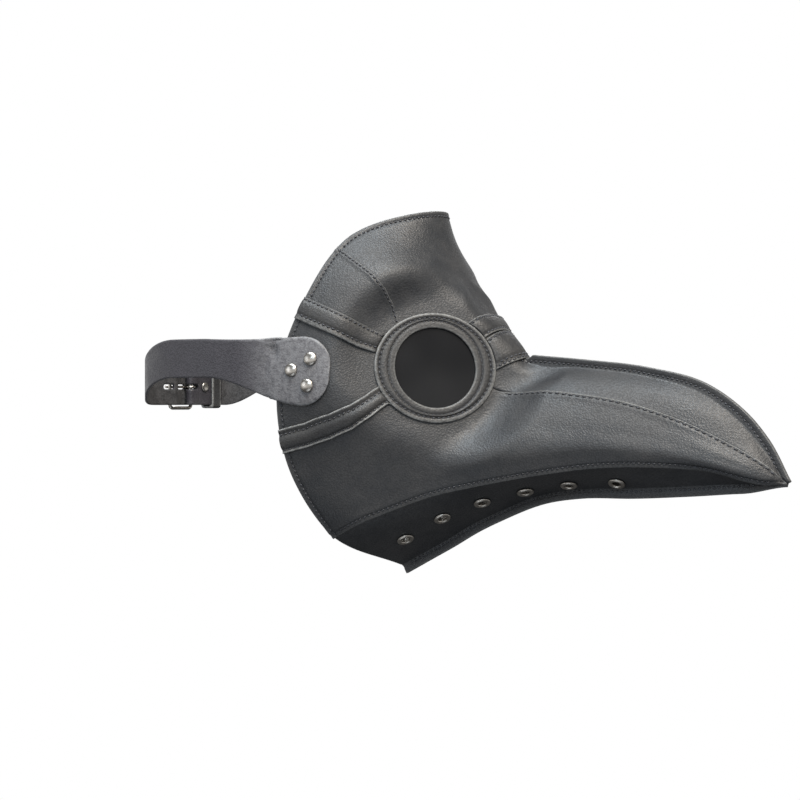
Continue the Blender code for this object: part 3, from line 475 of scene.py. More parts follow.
def extended(points, distances, rise):
    """Rows added after the last one, straight on, at distances in mm and lifted along the normal."""
    ahead = unit(points[-1] - points[-3])
    facing = grid_normals(points)[-1]
    distances = np.asarray(distances, float)
    rows = [points[-1] + ahead * d[:, None] + facing * (rise * d[:, None]) for d in distances]
    return np.concatenate([points, rows])


def both_halves(grid):
    """A right-side grid whose first row lies on the middle, carried over to the left."""
    return np.concatenate([on_face_side(grid[:0:-1], 1), grid])


# --- Relief ---
def softness(points):
    """Slow unevenness of worn leather, in mm."""
    x, y, z = points[..., 0], points[..., 1], points[..., 2]
    slow = np.sin(x / 11.0 + 0.7 * np.sin(z / 13.0)) * np.sin(z / 9.0 + 1.3)
    quick = np.sin(x / 4.7 + z / 6.1 + 2.0) * np.sin(z / 5.3 - y / 7.9)
    return 0.13 * slow + 0.06 * quick


def raised(distance, width, height, ease):
    """A layer more of leather from the edge to a distance."""
    return height * (1 - smooth(distance, width, width + ease))


def bell(distance, width):
    """1 at no distance, falling off evenly both ways over a width."""
    return np.exp(-(distance / width)**2)


def line_at(points, distance, at):
    """A grid's points and normals where its distance, which rises or falls down each column, is at."""
    facing = grid_normals(points)
    spots = np.empty((points.shape[1], 3))
    normals = np.empty((points.shape[1], 3))
    for j in range(points.shape[1]):
        order = np.argsort(distance[:, j])
        for k in range(3):
            spots[j, k] = np.interp(at, distance[order, j], points[order, j, k])
            normals[j, k] = np.interp(at, distance[order, j], facing[order, j, k])
    return spots, normals


class Patch:
    """A fine grid of points with its distances from each edge, in mm."""

    def __init__(self, points):
        self.base = points
        self.points = points.copy()
        down = run_lengths(points)
        across = run_lengths(points, axis=1)
        self.top = down
        self.bottom = down[-1] - down
        self.front = across
        self.back = across[:, -1:] - across
        self.wear_and_painted_light = np.zeros(points.shape[:2])
        self.normals = grid_normals(points)

    def lift(self, height):
        self.points = self.points + self.normals * height[..., None]

    def line(self, grid, name, at):
        """The line at a distance from an edge of the patch, as points and outward directions."""
        distance = getattr(self, name)
        if name in ("top", "bottom"):
            return line_at(grid, distance, at)
        spots, facing = line_at(grid.transpose(1, 0, 2), distance.T, at)
        return spots, -facing

    def run(self, name, at):
        """Distance along that line."""
        return run_lengths(self.line(self.base, name, at)[0])

    def seam(self, name, at, depth=0.5, width=0.9, pucker=0.10, pitch=PITCH):
        """The channel that a row of stitches pulls into the leather, tightest at the needle holes."""
        run = self.run(name, at)
        run = run[None, :] if name in ("top", "bottom") else run[:, None]
        off = getattr(self, name) - at
        puckers = pucker * bell(off, 2.4 * width) * np.cos(2 * math.pi * run / pitch)
        return -depth * bell(off, width) - puckers

    def sew(self, name, at, **shape):
        self.lift(self.seam(name, at, **shape))

    def thread(self, name, at, keep=slice(None), pitch=PITCH):
        """A row of stitches: points, outward directions and run. keep picks its columns."""
        spots, facing = self.line(self.points, name, at)
        run = self.run(name, at) * (PITCH / pitch)
        return spots[keep], facing[keep], run[keep]


# --- Meshes ---
def mesh_object(name, vertices, faces, skins, inner_from=None):
    """A smooth closed mesh, in mm, facing outward. Faces from inner_from on take the second material."""
    vertices = np.asarray(vertices, float)
    faces = np.asarray(faces, int)
    corners = vertices[faces]
    middle = vertices.mean(0)
    first, second, third = corners[:, 0] - middle, corners[:, 1] - middle, corners[:, 2] - middle
    fourth = corners[:, 3] - middle
    volume = (first * np.cross(second, third)).sum() + (first * np.cross(third, fourth)).sum()
    if volume < 0:
        faces = faces[:, ::-1]
    mesh = bpy.data.meshes.new(name)
    mesh.from_pydata((vertices * MM).tolist(), [], faces.tolist())
    mesh.polygons.foreach_set("use_smooth", np.ones(len(faces), bool))
    for skin in skins:
        mesh.materials.append(skin)
    if inner_from is not None:
        index = np.zeros(len(faces), np.int32)
        index[inner_from:] = 1
        mesh.polygons.foreach_set("material_index", index)
    return linked(name, mesh)


def linked(name, data):
    """A new object in the scene."""
    made = bpy.data.objects.new(name, data)
    bpy.context.scene.collection.objects.link(made)
    return made


def store_wear_and_painted_light(made, wear_and_painted_light):
    """Keeps how rubbed each vertex is, and on the strap's tab the painted light that pales it, for the
    leather to read.
    """
    attribute = made.data.attributes.new("wear_and_painted_light", "FLOAT", "POINT")
    attribute.data.foreach_set("value", np.ravel(wear_and_painted_light).astype(np.float32))
    return made


def quads(rows, columns, closed_rows=False, closed_columns=False):
    """Faces of a grid of vertices."""
    i, j = np.meshgrid(np.arange(rows if closed_rows else rows - 1),
                       np.arange(columns if closed_columns else columns - 1), indexing="ij")
    below, beside = (i + 1) % rows, (j + 1) % columns
    return np.stack([i * columns + j, i * columns + beside, below * columns + beside,
                     below * columns + j], -1).reshape(-1, 4)


def rim(line, count):
    """Faces between a boundary of the outer layer and the inner layer."""
    a, b = line[:-1], line[1:]
    return np.stack([b, a, a + count, b + count], -1)


def shell(name, outer, inner, wear_and_painted_light, skins):
    """A closed body between two grids of points."""
    rows, columns = outer.shape[:2]
    count = rows * columns
    index = np.arange(count).reshape(rows, columns)
    front = quads(rows, columns)
    edges = [rim(index[0], count), rim(index[:, -1], count), rim(index[-1][::-1], count),
             rim(index[:, 0][::-1], count)]
    faces = np.concatenate([front] + edges + [front[:, ::-1] + count])
    vertices = np.concatenate([outer.reshape(-1, 3), inner.reshape(-1, 3)])
    return store_wear_and_painted_light(mesh_object(name, vertices, faces, skins, len(faces) - len(front)), [wear_and_painted_light, wear_and_painted_light])


def leather_piece(name, patch, thickness, skins, side=-1, rounding=0.6):
    """A patch as a sheet of leather with rounded edges, on the right (-1) or mirrored to the left (1)."""
    edge = np.minimum(np.minimum(patch.top, patch.bottom), np.minimum(patch.front, patch.back))
    inward = np.clip(1 - edge / rounding, 0, 1)
    drop = rounding * (1 - np.sqrt(1 - inward**2))
    outer = patch.points - patch.normals * drop[..., None]
    inner = patch.points - patch.normals * (thickness - 0.5 * drop)[..., None]
    wear_and_painted_light = np.clip(patch.wear_and_painted_light, 0, 1)
    if side > 0:
        outer, inner = on_face_side(outer, side), on_face_side(inner, side)
    return shell(name, outer, inner, wear_and_painted_light, skins)


def finish_piece(made, body="mask", replaced=()):
    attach(made, body)
    if replaced:
        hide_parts(*replaced)
    return made


THREAD_ALONG = np.array([-1, -0.92, -0.6, -0.2, 0.2, 0.6, 0.92, 1])        # from end to end of a stitch
THREAD_THICK = np.array([0.35, 0.75, 1, 1, 1, 1, 0.75, 0.35])              # its thickness there
THREAD_SIDES = 6


def stitch_faces():
    """Faces of one stitch, a six-sided tube with closed ends."""
    tube_sides = quads(len(THREAD_ALONG), THREAD_SIDES, closed_columns=True)
    end = np.array([[0, 1, 2, 3], [0, 3, 4, 5]])
    return np.concatenate([tube_sides, end[:, ::-1], end + THREAD_SIDES * (len(THREAD_ALONG) - 1)])


def stitch_rings(spots, facing, run, pitch, length, radius):
    """Vertices of every stitch along a line, as (stitch, ring, vertex, xyz)."""
    around = np.linspace(0, 2 * math.pi, THREAD_SIDES, endpoint=False)
    bow = radius * (0.75 - 1.5 * np.abs(THREAD_ALONG)**3)
    count = int((run[-1] - run[0]) / pitch)
    centres = run[0] + (np.arange(count) + 0.5) * pitch
    sample = centres[:, None] + THREAD_ALONG[None] * length / 2
    here = np.stack([np.interp(sample, run, spots[:, k]) for k in range(3)], -1)
    out = unit(np.stack([np.interp(sample, run, facing[:, k]) for k in range(3)], -1))
    ahead = unit(here[:, -1:] - here[:, :1])
    across = unit(np.cross(out, np.broadcast_to(ahead, out.shape)))
    slant = across * (0.22 * radius * THREAD_ALONG)[None, :, None]
    core = here + slant + out * bow[None, :, None]
    ring = np.cos(around)[:, None] * across[:, :, None] + np.sin(around)[:, None] * out[:, :, None]
    return core[:, :, None] + ring * (radius * THREAD_THICK)[None, :, None, None]


def stitches(name, lines, skin, side=-1, pitch=PITCH, length=STITCH, radius=THREAD):
    """Short bowed lengths of thread along lines of (points, outward directions, run)."""
    single = stitch_faces()
    vertices, faces = [], []
    for spots, facing, run in lines:
        for stitch in stitch_rings(spots, facing, run, pitch, length, radius):
            faces.append(single + len(vertices) * len(THREAD_ALONG) * THREAD_SIDES)
            vertices.append(stitch.reshape(-1, 3))
    points = on_face_side(np.concatenate(vertices), side) if side > 0 else np.concatenate(vertices)
    made = mesh_object(name, points, np.concatenate(faces), [skin])
    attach(made, "mask")
    return made


def place(made, at, out, turn=0.0):
    """Puts an object's origin at a point in mm with its local Z along a direction."""
    rotation = Vector(out).to_track_quat("Z", "Y").to_matrix().to_4x4()
    made.matrix_world = (Matrix.Translation(Vector(at) * MM) @ rotation @ Matrix.Rotation(turn, 4, "Z"))
    return made


def turned(name, profile, skin, steps=48, closed=False):
    """A profile of (radius, height) in mm, turned round local Z. A closed profile makes a ring."""
    profile = np.array(profile, float)
    angle = np.linspace(0, 2 * math.pi, steps, endpoint=False)
    radius = np.maximum(profile[:, 0], 0.004)
    grid = np.stack([radius[None] * np.cos(angle)[:, None], radius[None] * np.sin(angle)[:, None],
                     np.broadcast_to(profile[:, 1], (steps, len(profile)))], -1)
    faces = quads(steps, len(profile), closed_rows=True, closed_columns=closed)
    made = mesh_object(name, grid.reshape(-1, 3), faces, [skin])
    if not closed:
        close_ends(made)
    return made


def close_ends(made):
    """Merges the vertices round the axis at each end of a turned piece."""
    work = bmesh.new()
    work.from_mesh(made.data)
    bmesh.ops.remove_doubles(work, verts=work.verts, dist=0.01 * MM)
    work.to_mesh(made.data)
    work.free()


def pierced(made, cutters):
    """Cuts through a piece with other objects, which are then removed."""
    for cutter in cutters:
        trim = made.modifiers.new("cut", "BOOLEAN")
        trim.operation = "DIFFERENCE"
        trim.solver = "MANIFOLD"
        trim.object = cutter
    bpy.context.view_layer.update()
    cut = bpy.data.meshes.new_from_object(made.evaluated_get(bpy.context.evaluated_depsgraph_get()))
    made.modifiers.clear()
    made.data = cut
    for cutter in cutters:
        bpy.data.objects.remove(cutter, do_unlink=True)
    return made


def round_cutter(at, out, radius, depth, steps=40):
    profile = [(0, -depth / 2), (radius, -depth / 2), (radius, depth / 2), (0, depth / 2)]
    return place(turned("cutter", profile, None, steps), at, out)


def slot_cutter(distance, out, length, width):
    """A round-ended slot through the strap, at a distance along its straight run."""
    bpy.ops.mesh.primitive_cube_add(size=1)
    made = bpy.context.active_object
    made.data.transform(Matrix.Diagonal((14 * MM, length * MM, width * MM, 1)))
    ends = made.modifiers.new("ends", "BEVEL")
    ends.width = 0.45 * width * MM
    ends.segments = 4
    turn = math.atan2(BUCKLE_ALONG[1], BUCKLE_ALONG[0]) - math.pi / 2
    centre = Vector((*run_point(distance, out), BACK_RISE)) * MM
    made.matrix_world = Matrix.Translation(centre) @ Matrix.Rotation(turn, 4, "Z")
    return made


# --- Panels ---
BACK_COLUMNS = 40
BEAK_COLUMNS = 170
FOREHEAD_START = 0.578       # u of the forehead's front edge, under the lower bridge band
TUCK_MIDDLE = 0.042          # u that the upper beak runs on past the root, under the band
TUCK_SIDE = 0.030            # and under the eye ring
TUCK = np.array([0.0, 0.6, 1.4, 2.4, 3.6])      # rows at an edge that lies under another piece


def clear_of_middle(points):
    points = points.copy()
    points[..., 1] = np.minimum(points[..., 1], -(LEATHER + FOLD_GAP))
    return points


def beak_us(end):
    return np.linspace(0.004, end, BEAK_COLUMNS)


def hem(patch):
    """The turned back edge, with its row of stitches."""
    patch.lift(raised(patch.back, HEM_STITCH - 0.6, 0.35, 0.8))
    patch.sew("back", HEM_STITCH, depth=0.45)
    patch.wear_and_painted_light += 0.45 * bell(patch.back, 0.8)


def on_pitch(run, start, end, pitch=PITCH):
    """The slice of a run that starts and ends on needle holes between two distances."""
    first = np.searchsorted(run, math.ceil(start / pitch) * pitch)
    last = np.searchsorted(run, math.floor(end / pitch) * pitch)
    return slice(first, last + 1)


def forehead():
    """From the beak's root over the brow, across the middle."""
    arc = on_hole(FRONT_ANGLE, TEMPLE_ANGLE)
    rear = rear_seam(TEMPLE_SEAM, arc[-1], -0.2)
    edge = np.concatenate([arc, rear[1:]])
    middle_u = np.concatenate([np.linspace(FOREHEAD_START, arc[-1, 0], len(arc)), rear[1:, 0]])
    middle = np.stack([middle_u, np.zeros(len(edge))], 1)
    uv = respaced(columns_between(middle, edge, 70), np.array([0, 1.2]), TUCK, 40)
    patch = Patch(both_halves(surface_grid(uv)))
    patch.lift(softness(patch.base * np.array([1, 0, 1])))
    hem(patch)
    return patch, [patch.thread("back", HEM_STITCH)]


def temple():
    arc = on_hole(TEMPLE_ANGLE - 3, BROW_ANGLE, 44)
    top = rear_seam(TEMPLE_SEAM, arc[0], -1.3)
    bottom = rear_seam(between(BROW_TOP, BROW_BOTTOM), arc[-1])
    uv = four_sided(top, bottom, arc, straight(top[-1], bottom[-1], len(arc)))
    patch = Patch(surface_grid(respaced(uv, EDGE_ROWS, TUCK, 20)))
    patch.lift(softness(patch.base))
    patch.lift(raised(patch.top, 2.2, 0.55, 2.0))
    patch.sew("top", TEMPLE_STITCH)
    patch.wear_and_painted_light += 0.5 * bell(patch.top, 0.6)
    hem(patch)
    return patch, [patch.thread("top", TEMPLE_STITCH), patch.thread("back", HEM_STITCH)]


def cheek():
    arc = on_hole(BROW_ANGLE, CHEEK_ANGLE + 360, 44)
    top = rear_seam(between(BROW_TOP, BROW_BOTTOM), arc[0])
    bottom = rear_seam(between(CHEEK_TOP, CHEEK_BOTTOM), arc[-1])
    uv = four_sided(top, bottom, arc, straight(top[-1], bottom[-1], len(arc)))
    patch = Patch(surface_grid(respaced(uv, TUCK, TUCK, 34)))
    patch.lift(softness(patch.base))
    hem(patch)
    return patch, [patch.thread("back", HEM_STITCH)]


def side():
    """From the beak's tip along its side and the jaw to the back edge."""
    beak_u = beak_us(BEAK_ROOT)
    crease = np.stack([beak_u, np.full(len(beak_u), CREASE_V)], 1)
    arc = on_hole(FRONT_ANGLE - 1, CHEEK_ANGLE)
    rear = rear_seam(between(CHEEK_TOP, CHEEK_BOTTOM), arc[-1])
    top = np.concatenate([crease, arc, rear[1:]])
    seam_u = np.concatenate([beak_u, np.linspace(BEAK_ROOT, arc[-1, 0], len(arc) + 1)[1:], rear[1:, 0]])
    bottom = np.stack([seam_u, np.full(len(seam_u), SEAM_V - 1e-6)], 1)
    uv = respaced(columns_between(top, bottom, 80), EDGE_ROWS[:8], EDGE_ROWS[:8], 34)
    points = clear_of_middle(surface_grid(uv))
    tip = smooth(top[:, 0], 0.0, 0.05)
    fin = FIN * (1 - smooth(top[:, 0], BEAK_ROOT - 0.07, BEAK_ROOT)) * tip + 0.02
    flap = FLAP * (0.25 + 0.75 * tip)
    points = extended(points, [flap * s for s in (0.2, 0.4, 0.6, 0.8, 0.92, 1.0)], 0.04)
    points = extended(points[::-1], [fin * s for s in (0.35, 0.7, 1.0)], -0.1)[::-1]
    patch = Patch(points)
    patch.lift(softness(patch.base))
    patch.lift(0.7 * (1 - smooth(patch.bottom, FLAP, FLAP + 7)) * tip)
    patch.lift(0.35 * (1 - smooth(patch.top, FIN, FIN + 5)) * tip * (fin > 0.2))
    on_beak = fin > 0.2
    patch.lift(patch.seam("top", CREASE_AT, pitch=CREASE_PITCH) * on_beak)
    patch.sew("bottom", FLAP, depth=0.55, pucker=0.13)
    patch.wear_and_painted_light += (0.75 * bell(patch.top, 0.7) * on_beak + 0.35 * bell(patch.bottom, 0.7)) * tip
    hem(patch)
    run = patch.run("top", CREASE_AT)
    crease_keep = on_pitch(run, 8, run[np.argmax(top[:, 0] > BEAK_ROOT - 0.006)], CREASE_PITCH)
    run = patch.run("bottom", FLAP)
    seam_keep = on_pitch(run, 8, run[-1] - 4)
    lines = [patch.thread("top", CREASE_AT, crease_keep, CREASE_PITCH),
             patch.thread("bottom", FLAP, seam_keep)]
    return patch, lines + [patch.thread("back", HEM_STITCH)]


FLANGE_ROWS = (1, 0.93, 0.85, 0.72, 0.56, 0.4, 0.24, 0.1)    # shares of the flange's height


def flange_rows(edge, u, full_height, tip_height, outward):
    """Rows of a flange that stands in the middle plane along an edge, outer row first."""
    height = tip_height + (full_height - tip_height) * smooth(u, 0, FLANGE_TAPER_U)
    if outward > 0:
        height = height * (1 - 0.95 * smooth(u, BEAK_ROOT - 0.006, BEAK_ROOT + 0.012))
    height = height[:, None]
    run = np.gradient(edge, axis=0)
    rise = np.stack([run[:, 2], np.zeros(len(edge)), -run[:, 0]], 1)
    rise = unit(rise) * outward
    out = np.array([0, -(LEATHER + FOLD_GAP), 0])
    return np.stack([edge + rise * height * share + out for share in FLANGE_ROWS])


def beak_top():
    u = beak_us(BEAK_ROOT)
    middle = np.stack([u, np.full(len(u), 0.03)], 1)
    crease = np.stack([u, np.full(len(u), CREASE_V - 1e-6)], 1)
    uv = columns_between(middle, crease, 60)
    near_root = smooth(u, BEAK_ROOT - 0.05, BEAK_ROOT)
    tuck = TUCK_MIDDLE + (TUCK_SIDE - TUCK_MIDDLE) * smooth(uv[..., 1], 1.2, CREASE_V)
    uv[..., 0] += tuck * near_root
    skin = surface_grid(respaced(uv, TUCK, EDGE_ROWS[:6], 22))
    ridge_u = u + TUCK_MIDDLE * near_root
    flange = flange_rows(point(ridge_u, np.zeros(len(u))), ridge_u, TOP_FLANGE, TOP_FLANGE_TIP, 1)
    patch = Patch(clear_of_middle(np.concatenate([flange, skin])))
    away = smooth(patch.top, TOP_FLANGE, TOP_FLANGE + 6)
    patch.lift(softness(patch.base) * away)
    patch.sew("top", RIDGE_STITCH, depth=0.4, width=0.7, pucker=0.12)
    patch.lift(-0.5 * (1 - smooth(patch.bottom, 0, 1.5)))
    patch.wear_and_painted_light += 0.5 * bell(patch.top, 0.6)
    run = patch.run("top", RIDGE_STITCH)
    return patch, [patch.thread("top", RIDGE_STITCH, on_pitch(run, 8, run[-1] - 3))]


def beak_lower():
    u = np.concatenate([beak_us(BEAK_ROOT)[:-1], np.linspace(BEAK_ROOT, 1 - 6.5 / MM_PER_U, 110)[:-1],
                        1 - HEM / MM_PER_U])
    edge = np.stack([u, np.full(len(u), SEAM_V + 0.004)], 1)
    middle = np.stack([u, np.full(len(u), CHIN_V - 0.03)], 1)
    skin = surface_grid(respaced(columns_between(edge, middle, 60), TUCK, TUCK[:3], 26))
    flange = flange_rows(point(u, np.full(len(u), CHIN_V - 1e-6)), u, CHIN_FLANGE, CHIN_FLANGE_TIP, -1)
    patch = Patch(clear_of_middle(np.concatenate([skin, flange[::-1]])))
    away = smooth(patch.bottom, CHIN_FLANGE, CHIN_FLANGE + 6)
    patch.lift(softness(patch.base) * away - 0.25 * (1 - smooth(patch.top, 1, 5)))
    patch.sew("bottom", CHIN_STITCH, depth=0.45, pucker=0.16)
    patch.wear_and_painted_light += 0.45 * bell(patch.bottom, 0.6) + 0.4 * bell(patch.back, 0.7)
    run = patch.run("bottom", CHIN_STITCH)
    return patch, [patch.thread("bottom", CHIN_STITCH, on_pitch(run, 10, run[-1] - 2))]


# --- Bands ---
def face_band(top_seam, bottom_seam, angles):
    """A band from the ring to the back edge, as a patch at the height of its outer face."""
    arc = on_ring(*angles)
    top = rear_seam(top_seam, arc[0])
    bottom = rear_seam(bottom_seam, arc[-1])
    uv = four_sided(top, bottom, arc, straight(top[-1], bottom[-1], len(arc)))
    patch = Patch(surface_grid(respaced(uv, EDGE_ROWS[:8], EDGE_ROWS[:8], 10)))
    near_ring = 1 - smooth(patch.front, 0, 5)
    patch.lift(LAY + BAND + 0.15 - 0.5 * near_ring)
    return patch


def brow_band():
    patch = face_band(BROW_TOP, BROW_BOTTOM, BROW_ON_RING)
    width = patch.top + patch.bottom
    patch.lift(0.55 * np.sin(math.pi * np.clip((patch.top - 1.3) / (width - 4.2), 0, 1)))
    patch.lift(-0.45 * (1 - smooth(patch.top, 0, 1.4)))
    patch.sew("top", BROW_STITCH_TOP, depth=0.55)
    patch.sew("bottom", BROW_STITCH_BOTTOM, depth=0.55)
    patch.wear_and_painted_light += 0.9 * bell(patch.bottom, 0.9) + 0.25 * bell(patch.top, 0.5)
    return patch, [patch.thread("top", BROW_STITCH_TOP), patch.thread("bottom", BROW_STITCH_BOTTOM)]


def cheek_band():
    patch = face_band(CHEEK_TOP, CHEEK_BOTTOM, CHEEK_ON_RING)
    width = patch.top + patch.bottom
    patch.lift(1.0 * np.sin(math.pi * np.clip((patch.top - 3.2) / (width - 5.0), 0, 1)))
    patch.sew("top", CHEEK_STITCH_TOP, depth=0.7, width=1.2)
    patch.sew("bottom", CHEEK_STITCH_BOTTOM, depth=0.7)
    patch.lift(0.35 * bell(patch.bottom - 0.6, 0.6))
    patch.wear_and_painted_light += 1.0 * bell(patch.bottom - 0.4, 0.9) + 1.0 * bell(patch.top, 0.6)
    return patch, [patch.thread("top", CHEEK_STITCH_TOP), patch.thread("bottom", CHEEK_STITCH_BOTTOM)]


def drawn_taut(points, passes=60):
    """A grid whose columns are pulled into even curves between its first and last rows."""
    points = points.copy()
    for _ in range(passes):
        points[1:-1] = (points[:-2] + 2 * points[1:-1] + points[2:]) / 4
    return points


def bridge_band(edges, angles, rows_of_stitches):
    """A strap of leather over the bridge, from one ring to the other."""
    arc = on_ring(*angles)
    across = np.linspace(0, 1, 44)[:, None]
    grid = []
    for share, end in zip(np.linspace(0, 1, len(arc)), arc):
        middle = np.array((edges[0] * (1 - share) + edges[1] * share, 0.0))
        grid.append(middle * (1 - across) + end * across)
    uv = respaced(np.array(grid), EDGE_ROWS[:8], EDGE_ROWS[:8], 8).transpose(1, 0, 2)
    patch = Patch(drawn_taut(both_halves(surface_grid(uv))))
    near_ring = 1 - smooth(np.minimum(patch.top, patch.bottom), 0, 4)
    patch.lift(LAY + BAND + 0.1 - 0.45 * near_ring)
    width = patch.front + patch.back
    patch.lift(0.35 * np.sin(math.pi * np.clip((patch.front - 1.5) / (width - 3.0), 0, 1)))
    for edge, at in rows_of_stitches:
        patch.sew(edge, at, depth=0.5)
    lines = [patch.thread(edge, at) for edge, at in rows_of_stitches]
    patch.wear_and_painted_light += 0.6 * bell(patch.front, 0.8) + 0.4 * bell(patch.back, 0.6)
    return patch, lines


# --- Eyes ---
RING_PROFILE = (
    ("out", 0.45, 0.35), ("out", 0.0, 0.8), ("out", 0.1, 1.3), ("out", 0.6, 1.7), ("out", 1.4, 1.8),
    ("out", 2.2, 1.5), ("out", 2.8, 0.95), ("out", 3.4, 1.4), ("mid", 0.0, 1.95),
    ("in", 4.6, 1.7), ("in", 4.1, 1.15), ("in", 3.5, 1.45), ("in", 2.6, 1.7), ("in", 1.4, 1.7),
    ("in", 0.6, 1.6), ("in", 0.15, 1.3), ("in", 0.0, 0.9), ("in", 0.1, 0.3),
)
RING_STITCH = 2.8            # the stitches' distance from the outer edge
LIP_STITCH = 4.1             # the fine stitches' distance from the lens
PUFF_OUTER = 3.4             # the puffed part lies between these distances from the two edges
PUFF_INNER = 4.6
OVAL_STEPS = 400
RING_STEPS = 220
LIP_PITCH = 2.6              # the fine stitches round the lens
LIP_LENGTH = 1.8
LIP_THREAD = 0.27
PANE_PROFILE = (             # (radius, height) of the lens, from the middle of its face to that of its back
    (0, 0.28), (6, 0.27), (12, 0.22), (18, 0.12), (23, 0.0), (25.6, -0.08), (LENS_RADIUS - 0.2, -0.25),
    (LENS_RADIUS, -0.5), (LENS_RADIUS, -1.2), (LENS_RADIUS - 0.3, -1.5), (25, -1.6), (0, -1.6),
)
RETAINER_LOW = -3.3          # the retainer's heights from the eye's plane
RETAINER_HIGH = -2.1
RETAINER_BORE = VIEW_RADIUS + 0.7
RETAINER_BEVEL = 0.3


def ring_size(kind, distance):
    """Half length and half height of the ring's oval at a distance from one of its edges."""
    outer = np.array([RING_LENGTH, RING_HEIGHT])
    inner = np.array([VIEW_RADIUS, VIEW_RADIUS])
    if kind == "out":
        return tuple(outer - distance)
    if kind == "in":
        return tuple(inner + distance)
    return tuple((outer - PUFF_OUTER + inner + PUFF_INNER) / 2)


def oval(angle, length, height, rise):
    """Points round the eye, raised from its plane."""
    return (EYE + (length * np.cos(angle))[..., None] * EYE_ALONG
            + (height * np.sin(angle))[..., None] * EYE_UP + np.asarray(rise)[..., None] * EYE_OUT)


def oval_line(kind, distance, rise):
    """A stitching line round the ring, as points, outward directions and run."""
    spots = oval(np.linspace(0, 2 * math.pi, OVAL_STEPS), *ring_size(kind, distance), rise)
    return spots, np.broadcast_to(EYE_OUT, spots.shape), run_lengths(spots)


def eye_ring(label, side, skins):
    """A puffed leather ring with a sewn flange outside and a rolled lip round the lens."""
    shape = np.array([(*ring_size(kind, distance), rise) for kind, distance, rise in RING_PROFILE])
    top = curve_through(shape, steps=3)
    under = np.array([(*ring_size("in", 1.5), 0.3), (*ring_size("out", 1.5), 0.3)])
    profile = np.concatenate([top, under])
    angle = np.linspace(0, 2 * math.pi, RING_STEPS, endpoint=False)[:, None]
    length, height, rise = profile[None, :, 0], profile[None, :, 1], profile[None, :, 2]
    _, _, run = oval_line("out", RING_STITCH, 0)
    whole = round(run[-1] / PITCH)
    run_here = np.interp(angle, np.linspace(0, 2 * math.pi, OVAL_STEPS), run) / run[-1] * whole * PITCH
    from_stitch = RING_LENGTH - RING_STITCH - length
    upper = rise > 0.9
    rise = rise - 0.12 * upper * bell(from_stitch, 2.0) * np.cos(2 * math.pi * run_here / PITCH)
    grid = oval(angle, length, height, rise)
    wear_and_painted_light = 0.9 * bell(RING_LENGTH - length, 1.0) + 0.4 * bell(length - VIEW_RADIUS - 0.5, 0.5)
    wear_and_painted_light = np.broadcast_to(wear_and_painted_light * upper, grid.shape[:2])
    vertices = on_face_side(grid.reshape(-1, 3), side)
    made = mesh_object("eye_ring_leather_" + label, vertices,
                       quads(RING_STEPS, len(profile), closed_rows=True, closed_columns=True), skins[:1])
    return store_wear_and_painted_light(made, wear_and_painted_light)


def whole_stitches(line, pitch):
    """A closed line with its run stretched to a hair over a whole number of stitches."""
    spots, facing, run = line
    return spots, facing, run / run[-1] * round(run[-1] / pitch) * pitch * 1.00001


# --- Straps and buckle ---
def run_point(distance, out):
    """A point of the straight run, in plan."""
    return BUCKLE_START + BUCKLE_ALONG * distance + BUCKLE_OUT * out


def tongue_out(distance):
    return TONGUE_OUT * smooth(distance, 16.5, 27.5)


def head_curve(side, turn_points, end_points):
    """Plan route from the tab's round end round the head."""
    tab = [(TAB_END, side * 76.4), (45, side * 78.4)]
    head = [(x, side * y) for x, y in HEAD_ROUTE]
    return curve_through(tab + head + turn_points + end_points, steps=12)


def right_route():
    run = [run_point(d, 0) for d in (0, 4, 9, 15)]
    rising = [run_point(d, tongue_out(d)) for d in (18, 20, 22, 24, 26, 28, 36, 48, TONGUE_END)]
    return head_curve(-1, RIGHT_ROUTE, run + rising)


def left_route():
    leaf = [run_point(61.7, 0.2)] + [run_point(d, FOLD_LAYER) for d in (56, 46, 37)]
    angle = np.radians(np.linspace(90, 270, 9))
    fold = [run_point(BAR_AT + FOLD_RADIUS * math.cos(a), FOLD_RADIUS * math.sin(a)) for a in angle]
    back = [run_point(d, -FOLD_LAYER) for d in (37, 46, FOLD_END)]
    return head_curve(1, LEFT_ROUTE, leaf + fold + back)


def strap_edges(distance, fall_start, fall_end):
    """Top and bottom heights of a strap, by distance from the tab's round end."""
    rounding = np.clip(distance / 20, 0.015, 1)
    round_end = (1 - (1 - rounding)**2.4)**(1 / 2.4)
    half = STRAP_HALF + (TAB_HALF - STRAP_HALF) * (1 - smooth(distance, 12, 80))
    middle = TAB_RISE + (SIDE_RISE - TAB_RISE) * smooth(distance, 18, 85)
    middle = middle + (BACK_RISE - SIDE_RISE) * smooth(distance, fall_start, fall_end)
    return middle + half * round_end, middle - half * round_end


def back_edge_x(z):
    """x of the cheek's back edge at heights z."""
    edge = point(np.ones(60), np.linspace(4.5, 1.6, 60))
    return np.interp(z, edge[:, 2], edge[:, 0])


STRAP_ROWS = np.array([0, 0.025, 0.06, 0.11, 0.18, 0.27, 0.38, 0.5])    # shares of the strap's width
STRAP_ROWS = np.concatenate([STRAP_ROWS, [0.62, 0.73, 0.82, 0.89, 0.94, 0.975, 1]])


